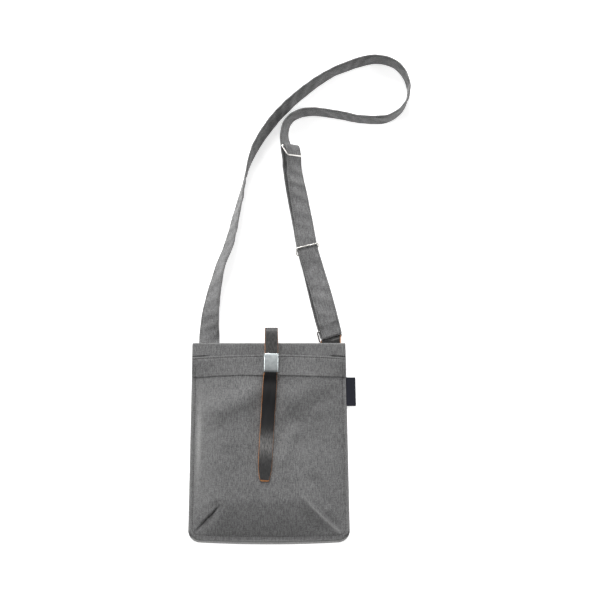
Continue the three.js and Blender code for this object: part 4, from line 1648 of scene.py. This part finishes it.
# the second layer, from its top down: its own lean, and how far it lies to the right of the first
secondLayer = [
    (52, -0.0013),
    (48.5, 0.0001),
    (44.5, 0.0),
    (32.5, 0.0008),
    (24, 0.0008),
    (12, 0.0),
    (7, 0.0005),
    (2, 0.0027),
    (0, 0.0035),
    (0, 0.0029),
    (0, 0.0024),
]
lastRow = len(strapRoute) - 1
doubledRow = next(i for i, row in enumerate(strapRoute) if row[4] > 0)
upward = np.array([0.0, 0.0, 1.0])


def leaning(right, angle):
    return right * math.cos(math.radians(angle)) + upward * math.sin(math.radians(angle))


def strapFrame(place):
    # middle of each layer, its directions across and out of its face, and the direction along both
    x, y, lean, lift, second = rowAt(strapRoute, place)
    heading = rowAt(strapRoute, min(place + 0.05, lastRow)) - rowAt(strapRoute, max(place - 0.05, 0))
    along = unit(np.array([heading[0], heading[1], 0.0]))
    right = np.cross(along, upward)
    leanOver, beside = rowAt(secondLayer, max(place - doubledRow, 0))
    across = leaning(right, lean)
    acrossOver = leaning(right, leanOver)
    normal = np.cross(across, along)
    lowest = strap["halfWidth"] * abs(across[2]) + strap["halfThick"] * abs(normal[2])
    centre = np.array([x, y, lowest + lift])
    over = centre + normal * second + (across - acrossOver) * strap["halfWidth"] - right * beside
    return {
        "along": along,
        "centre": centre,
        "across": across,
        "normal": normal,
        "over": over,
        "acrossOver": acrossOver,
        "normalOver": np.cross(acrossOver, along),
    }


def foldStations(axis, start, along, across, radius, slide=0.0):
    stations = []
    for turn in np.radians(np.arange(15, 180, 15)):
        out = start * math.cos(turn) + along * math.sin(turn)
        stations.append((axis + out * radius + across * slide * (turn / math.pi - 0.5), across, -out, 0.0))
    return stations


def slantedAcross(here, fromTop):
    # the upper layer is folded over a little out of square at its top
    return here["acrossOver"] - here["along"] * strap["topSlant"] * (1 - smooth(fromTop, 0, 1))


def strapStations():
    # places along the strap: middle, directions across and out of its face, and how freely it ropes,
    # below zero on the upper of two layers
    step = 1 / strap["stepsPerRow"]
    stations = []
    for place in np.arange(0, lastRow + step / 2, step):
        here = strapFrame(min(place, lastRow))
        single = 1 - smooth(place, doubledRow - strap["heldRows"], doubledRow)
        free = smooth(place, *strap["freeRows"]) * single
        stations.append((here["centre"], here["across"], here["normal"], free))
    end = strapFrame(lastRow)
    ringAxis = (end["centre"] + end["over"]) / 2
    slide = np.dot(end["over"] - end["centre"], end["across"])
    stations += foldStations(
        ringAxis, -end["normal"], end["along"], end["across"], strap["bottomLoop"], slide
    )
    for place in np.arange(lastRow, doubledRow - step / 2, -step):
        here = strapFrame(place)
        held = max(bump(here["over"][1] - y, strap["heldReach"]) for y in strap["heldAtY"])
        across = slantedAcross(here, place - doubledRow)
        stations.append((here["over"], across, -here["normalOver"], held - 1))
    top = strapFrame(doubledRow)
    topAxis = top["over"] - top["normalOver"] * strap["topFold"]
    across = slantedAcross(top, 0)
    stations += foldStations(topAxis, top["normalOver"], -top["along"], across, strap["topFold"])
    for place in np.arange(0, strap["tailRows"] + step / 2, step):
        here = strapFrame(doubledRow + place)
        tail = here["over"] - here["normalOver"] * 2 * strap["topFold"]
        stations.append((tail, slantedAcross(here, place), here["normalOver"], 0.0))
    return stations


def strapSection():
    # across and out, going round: flat faces with a dip at each row of stitches and round edges
    half = strap["halfWidth"]
    thick = strap["halfThick"]
    sewn = half - strap["stitchIn"]
    beside = strap["sewnHalf"]
    places = [-half + thick, -sewn - beside, -sewn, -sewn + beside, -0.65 * half, -0.35 * half, 0.0]
    places += [-a for a in reversed(places[:-1])]
    ring = []
    for a in places:
        ring.append((a, thick - strap["sewnDip"] * bump(abs(a) - sewn, strap["sewnReach"])))
    edge = [(half - thick + thick * math.sin(t), thick * math.cos(t)) for t in np.radians([40, 90, 140])]
    under = [(-a, -t) for a, t in ring]
    return np.array(ring + edge + under + [(-a, -t) for a, t in edge])


def makeShoulderStrap():
    stations = strapStations()
    centres = np.array([station[0] for station in stations])
    across = np.array([station[1] for station in stations])
    normal = np.array([station[2] for station in stations])
    arc = np.append(0, np.cumsum(np.linalg.norm(np.diff(centres, axis=0), axis=1)))
    ring = strapSection()
    a = np.repeat(ring[None, :, 0], len(stations), axis=0)
    s = np.repeat(arc[:, None], len(ring), axis=1)
    half = strap["halfWidth"]
    edge = smooth(np.abs(a), strap["puckerFrom"] * half, half)
    leftPull = drift(s, 0 * s, strap["puckerSize"], 42)
    rightPull = drift(s, 0 * s, strap["puckerSize"], 41)
    gather = strap["pucker"] * edge * np.where(a > 0, rightPull, leftPull)
    # ridges both ways where it runs single, only outwards on the upper of two layers
    free = np.array([station[3] for station in stations])[:, None]
    inside = 1 - smooth(np.abs(a), strap["ropeFrom"] * half, half)
    phase = 2 * math.pi * (s - strap["ropeSlant"] * a) / strap["ropePitch"]
    phase = phase + strap["ropeShift"] * drift(s, 0 * s, strap["ropeShiftSize"], 44)
    strength = strap["ropeMean"] + strap["ropeFade"] * drift(s, 0 * s, strap["ropeFadeSize"], 45)
    ridge = np.sin(phase) * strength
    roping = np.where(free > 0, free * ridge, free * np.maximum(ridge + strap["ropeOver"], 0))
    out = ring[None, :, 1] + gather + strap["wave"] * drift(s, a, strap["waveSize"], 43)
    out = out + strap["rope"] * inside * roping
    sections = centres[:, None] + across[:, None] * a[..., None] + normal[:, None] * out[..., None]
    sections[..., 2] = np.maximum(sections[..., 2], strap["floorGap"])
    points, faces = loft(sections)
    uv = np.stack([a.ravel() + strap["otherCloth"], s.ravel()], axis=1)
    wearAndPaintedLightAmount = strap["edgeWorn"] * smooth(np.abs(a), half - strap["edgeWornIn"], half)
    # wear and a painted highlight on the crests of the ridges
    wearAndPaintedLightAmount = wearAndPaintedLightAmount + strap["ropeWearAndHighlight"] * np.abs(free) * inside * np.maximum(ridge, 0) ** 2
    piece = addPiece(
        "shoulderStrap", points, faces, [strapCloth], uv, ["shoulder_strap"],
        wearAndPaintedLightAmount=wearAndPaintedLightAmount.ravel(),
    )
    print("shoulder strap is", round(arc[-1], 3), "m long")
    return sections, normal, ring


def makeStrapStitches(sections, normal, ring):
    sewn = strap["halfWidth"] - strap["stitchIn"]
    for name, faceSign in (("strapStitchesFace", 1), ("strapStitchesBack", -1)):
        places = []
        along = []
        normals = []
        for sideSign in (-1, 1):
            wrongFace = np.sign(ring[:, 1]) != faceSign
            k = np.argmin(np.abs(ring[:, 0] - sideSign * sewn) + 9 * wrongFace)
            spots, heading = evenly(sections[:, k], stitch["pitch"] * stitch["strapPitch"])
            nearest = [np.argmin(np.sum((sections[:, k] - spot) ** 2, axis=1)) for spot in spots]
            places.append(spots)
            along.append(heading)
            normals.append(faceSign * normal[nearest])
        joined = [np.concatenate(part) for part in (places, along, normals)]
        addStitches(name, *joined, "strap_cloth")


strapSkin = makeShoulderStrap()
makeStrapStitches(*strapSkin)
print("shoulder strap made")


# wire loops: two sliders and the ring

wire = {
    "radius": 0.9 * mm,
    "sides": 14,
    "overStrap": 1.5 * mm,
    "overWidth": 1.7 * mm,
    "corner": 2.4 * mm,
    "cornerPoints": 10,
    "sideSteps": 4,
    "barSteps": 12,
    "butt": 0.5 * mm,
    "endShares": (0.55, 0.9, 1.0),    # rounded ends
    "endStep": 0.08 * mm,
}
sliders = [
    {
        "name": "upperSlider",
        "node": "upper_slider",
        "frontY": 0.3506,
        "frontSkew": 0.19,
        "backY": 0.3630,
        "backSkew": 0.25,
        "backSide": 1,
    },
    {
        "name": "lowerSlider",
        "node": "lower_slider",
        "frontY": 0.2420,
        "frontSkew": 0.0,
        "backY": 0.2340,
        "backSkew": 0.0,
        "backSide": -1,
    },
]
ringSize = {
    "x": 0.0757,
    "y": 0.1274,
    "z": 2.9 * mm,
    "length": 13 * mm,
    "half": 13.8 * mm,
    "turn": math.radians(16.5),
    "overFloor": 0.05 * mm,
}


def placeAtY(y):
    place = doubledRow - 3.0
    while place < lastRow and rowAt(strapRoute, place)[1] > y:
        place += 0.01
    return place


def loopPath(barA, barB):
    # rounded path through the ends of two bars, starting and ending on the side between them
    corners = [barA[0] + barA[1], barB[0] + barB[1], barB[0] - barB[1], barA[0] - barA[1]]
    path = []
    for i, corner in enumerate(corners):
        following = corners[(i + 1) % 4]
        before = corner + unit(corners[i - 1] - corner) * wire["corner"]
        after = corner + unit(following - corner) * wire["corner"]
        for t in np.linspace(0, 1, wire["cornerPoints"]):
            path.append((1 - t) ** 2 * before + 2 * t * (1 - t) * corner + t ** 2 * after)
        nextStart = following + unit(corner - following) * wire["corner"]
        steps = wire["sideSteps"] if i % 2 == 0 else wire["barSteps"]
        for t in np.linspace(0, 1, steps + 1)[1:-1]:
            path.append(blendTo(after, nextStart, t))
    return np.array(path)


def addWireLoop(name, node, barA, barB, look):
    path = loopPath(barA, barB)
    # the wire's two ends meet on one side bar with a hair of space between them
    first = wire["cornerPoints"]
    start = path[first] + 0.5 * (path[first + 1] - path[first])
    path = np.concatenate([[start], path[first + 1:], path[:first + 1], [start]])
    heading = unit(path[1] - path[0])
    path[0] = path[0] + heading * wire["butt"] / 2
    path[-1] = path[-1] - unit(path[-1] - path[-2]) * wire["butt"] / 2
    turns = 2 * math.pi * np.arange(wire["sides"]) / wire["sides"]
    sections = []
    uv = []
    side = unit(np.cross(heading, upward + 0.01))
    done = 0
    for i, spot in enumerate(path):
        ahead = path[min(i + 1, len(path) - 1)]
        behind = path[max(i - 1, 0)]
        heading = unit(ahead - behind)
        side = unit(side - heading * np.dot(side, heading))
        other = np.cross(heading, side)
        ring = np.cos(turns)[:, None] * side + np.sin(turns)[:, None] * other
        done += np.linalg.norm(spot - behind)
        rings = [(1.0, 0)]
        if i == 0:
            rings = list(zip(wire["endShares"], (-2, -1, 0)))
        if i == len(path) - 1:
            rings = list(zip(wire["endShares"][::-1], (0, 1, 2)))
        for share, steps in rings:
            radius = share * wire["radius"]
            sections.append(spot + heading * wire["endStep"] * steps + ring * radius)
            uv.append(np.stack([turns * wire["radius"], np.full(len(turns), done)], axis=1))
    points, faces = loft(np.array(sections))
    addPiece(name, points, faces, [look], np.concatenate(uv), [node])


def makeSliders():
    clear = strap["halfThick"] + wire["overStrap"]
    halfLength = strap["halfWidth"] + wire["overWidth"]
    for slider in sliders:
        ahead = strapFrame(placeAtY(slider["frontY"]))
        behind = strapFrame(placeAtY(slider["backY"]))
        frontWay = ahead["along"] * slider["frontSkew"] - ahead["acrossOver"]
        backWay = behind["along"] * slider["backSkew"] - behind["across"]
        frontBar = (ahead["over"] + ahead["normalOver"] * clear, frontWay * halfLength)
        backBar = (behind["centre"] + behind["normal"] * clear * slider["backSide"], backWay * halfLength)
        addWireLoop(slider["name"], slider["node"], frontBar, backBar, platedWire)


def makeRing():
    across = np.array([math.cos(ringSize["turn"]), math.sin(ringSize["turn"]), 0]) * ringSize["half"]
    along = np.array([-math.sin(ringSize["turn"]), math.cos(ringSize["turn"]), 0])
    tabBar = np.array([ringSize["x"], ringSize["y"], ringSize["z"]])
    strapBar = tabBar + along * ringSize["length"]
    strapBar[2] = strap["bottomLoop"] + strap["halfThick"] + ringSize["overFloor"]
    # the ring's dark colour is painted shade
    addWireLoop("strapRing", "strap_ring", (tabBar, across), (strapBar, across), shadeDarkWire)


makeSliders()
makeRing()
print("sliders and ring made")


# leather tab that holds the ring

tab = {
    "half": 12.2 * mm,
    "thick": 1.6 * mm,
    "loop": 1.75 * mm,
    "bevelLeft": 0.5 * mm,
    "bevelRight": 0.9 * mm,
    "tailY": 0.110,
    "flatY": 0.114,           # the lower end lies flat against the upper one up to here
    "openY": 0.1195,
    "openShare": 0.45,
    "underRing": 1.5 * mm,
    "upperY": (0.1269, 0.1264, 0.1259, 0.1253, 0.1215, 0.118, 0.110),
    "highlightY": 0.1262,        # painted highlight along its bend
    "wearAndHighlightReach": 0.7 * mm,
    "highlightX": (-3 * mm, 3 * mm),
    "wearAndPaintedLight": 1.0,
    "rubbedAll": 0.04,
}


def makeRingTab():
    upperZ = ringSize["z"] + tab["loop"]
    lowerZ = ringSize["z"] - tab["loop"]
    sewnZ = upperZ - tab["thick"] - bag["gap"]
    rows = [(tab["tailY"], sewnZ), (tab["flatY"], sewnZ)]
    rows.append((tab["openY"], blendTo(lowerZ, sewnZ, tab["openShare"])))
    rows.append((ringSize["y"] - tab["underRing"], lowerZ))
    for turn in np.radians(np.arange(0, 181, 15)):
        bendY = ringSize["y"] + tab["loop"] * math.sin(turn)
        rows.append((bendY, ringSize["z"] - tab["loop"] * math.cos(turn)))
    rows += [(y, upperZ) for y in tab["upperY"]]
    slant = np.array([1.0, math.tan(ringSize["turn"]), 0.0])
    ring = leatherSection(tab["half"], tab["thick"] / 2, tab["bevelLeft"], tab["bevelRight"])
    sections = []
    uv = []
    wearAndPaintedLightAmount = []
    done = 0
    for i, (y, z) in enumerate(rows):
        before = rows[max(i - 1, 0)]
        after = rows[min(i + 1, len(rows) - 1)]
        along = unit(np.array([0.0, after[0] - before[0], after[1] - before[1]]))
        outside = -np.cross(np.array([1.0, 0, 0]), along)
        centre = np.array([ringSize["x"], y, z])
        sections.append(centre + ring[:, :1] * slant + ring[:, 1:2] * outside)
        done += math.dist(before, (y, z))
        uv.append(np.stack([ring[:, 0], np.full(len(ring), done)], axis=1))
        # painted highlight along the bend's crest
        onBend = bump(y - tab["highlightY"], tab["wearAndHighlightReach"]) * (z > ringSize["z"])
        wearAndPaintedLightAmount.append(tab["rubbedAll"] + tab["wearAndPaintedLight"] * onBend * smooth(ring[:, 0], *tab["highlightX"]))
    points, faces = loft(np.array(sections))
    faceLook = np.append(np.tile(ring[:, 2], len(rows) - 1), [1, 1])
    addPiece(
        "ringTab", points, faces, [blackLeather, cutEdge, fleshSide], np.concatenate(uv),
        ["ring_tab"], faceLook=faceLook, wearAndPaintedLightAmount=np.concatenate(wearAndPaintedLightAmount),
        crisp=leatherEdge["crisp"],
    )


makeRingTab()
print("ring tab made")


# woven label caught in the side seam, folded in two, blank

labelSize = {
    "lowY": 0.046,
    "highY": 0.081,
    "reach": 11 * mm,
    "layer": 0.42 * mm,
    "apart": 0.5 * mm,
    "foldOut": 0.35 * mm,
    "seamZ": 2.2 * mm,        # over the underside of the back panel
    "endZ": 0.62 * mm,
    "downBy": 0.8,            # share of its reach where it is down on the floor
    "curl": 0.2 * mm,
    "wave": 0.12 * mm,
    "rim": 0.12 * mm,
}


def makeLabel():
    rowsY = np.linspace(labelSize["lowY"], labelSize["highY"], 40)
    shares = np.linspace(0, 1, 24)
    half = labelSize["apart"] / 2
    # one layer out from the seam, round the fold, and the other layer back
    route = [(share, half, 0) for share in shares]
    for turn in np.radians(range(20, 180, 20)):
        route.append((1.0, half * math.cos(turn), labelSize["foldOut"] * math.sin(turn)))
    route += [(share, -half, 0) for share in shares[::-1]]
    centres = []
    for y in rowsY:
        seam = halfWidth(y) + bag["gap"]
        seamZ = labelSize["seamZ"] + backUnder(y)
        line = []
        for share, off, out in route:
            z = blendTo(seamZ, labelSize["endZ"], smooth(share, 0, labelSize["downBy"]))
            wave = labelSize["wave"] * math.sin(70 * y + 3 * share) * share
            z = z + wave + labelSize["curl"] * share ** 2
            line.append((seam + share * labelSize["reach"] + out, y, z + off))
        centres.append(line)
    centres = np.array(centres)
    normal = unit(np.cross(np.gradient(centres, axis=1), np.gradient(centres, axis=0)))
    upper = centres + normal * labelSize["layer"] / 2
    lower = centres - normal * labelSize["layer"] / 2
    points, faces = shell(upper, lower, labelSize["rim"])
    arc = np.append(0, np.cumsum(np.linalg.norm(np.diff(centres[0], axis=0), axis=1)))
    grid = np.stack([np.tile(arc, (len(rowsY), 1)), centres[..., 1]], axis=-1).reshape(-1, 2)
    uv = np.concatenate([grid, grid, points[2 * len(grid):, :2]])
    piece = addPiece("sideLabel", points, faces, [labelCloth], uv, ["side_label"])


makeLabel()
print("label made")
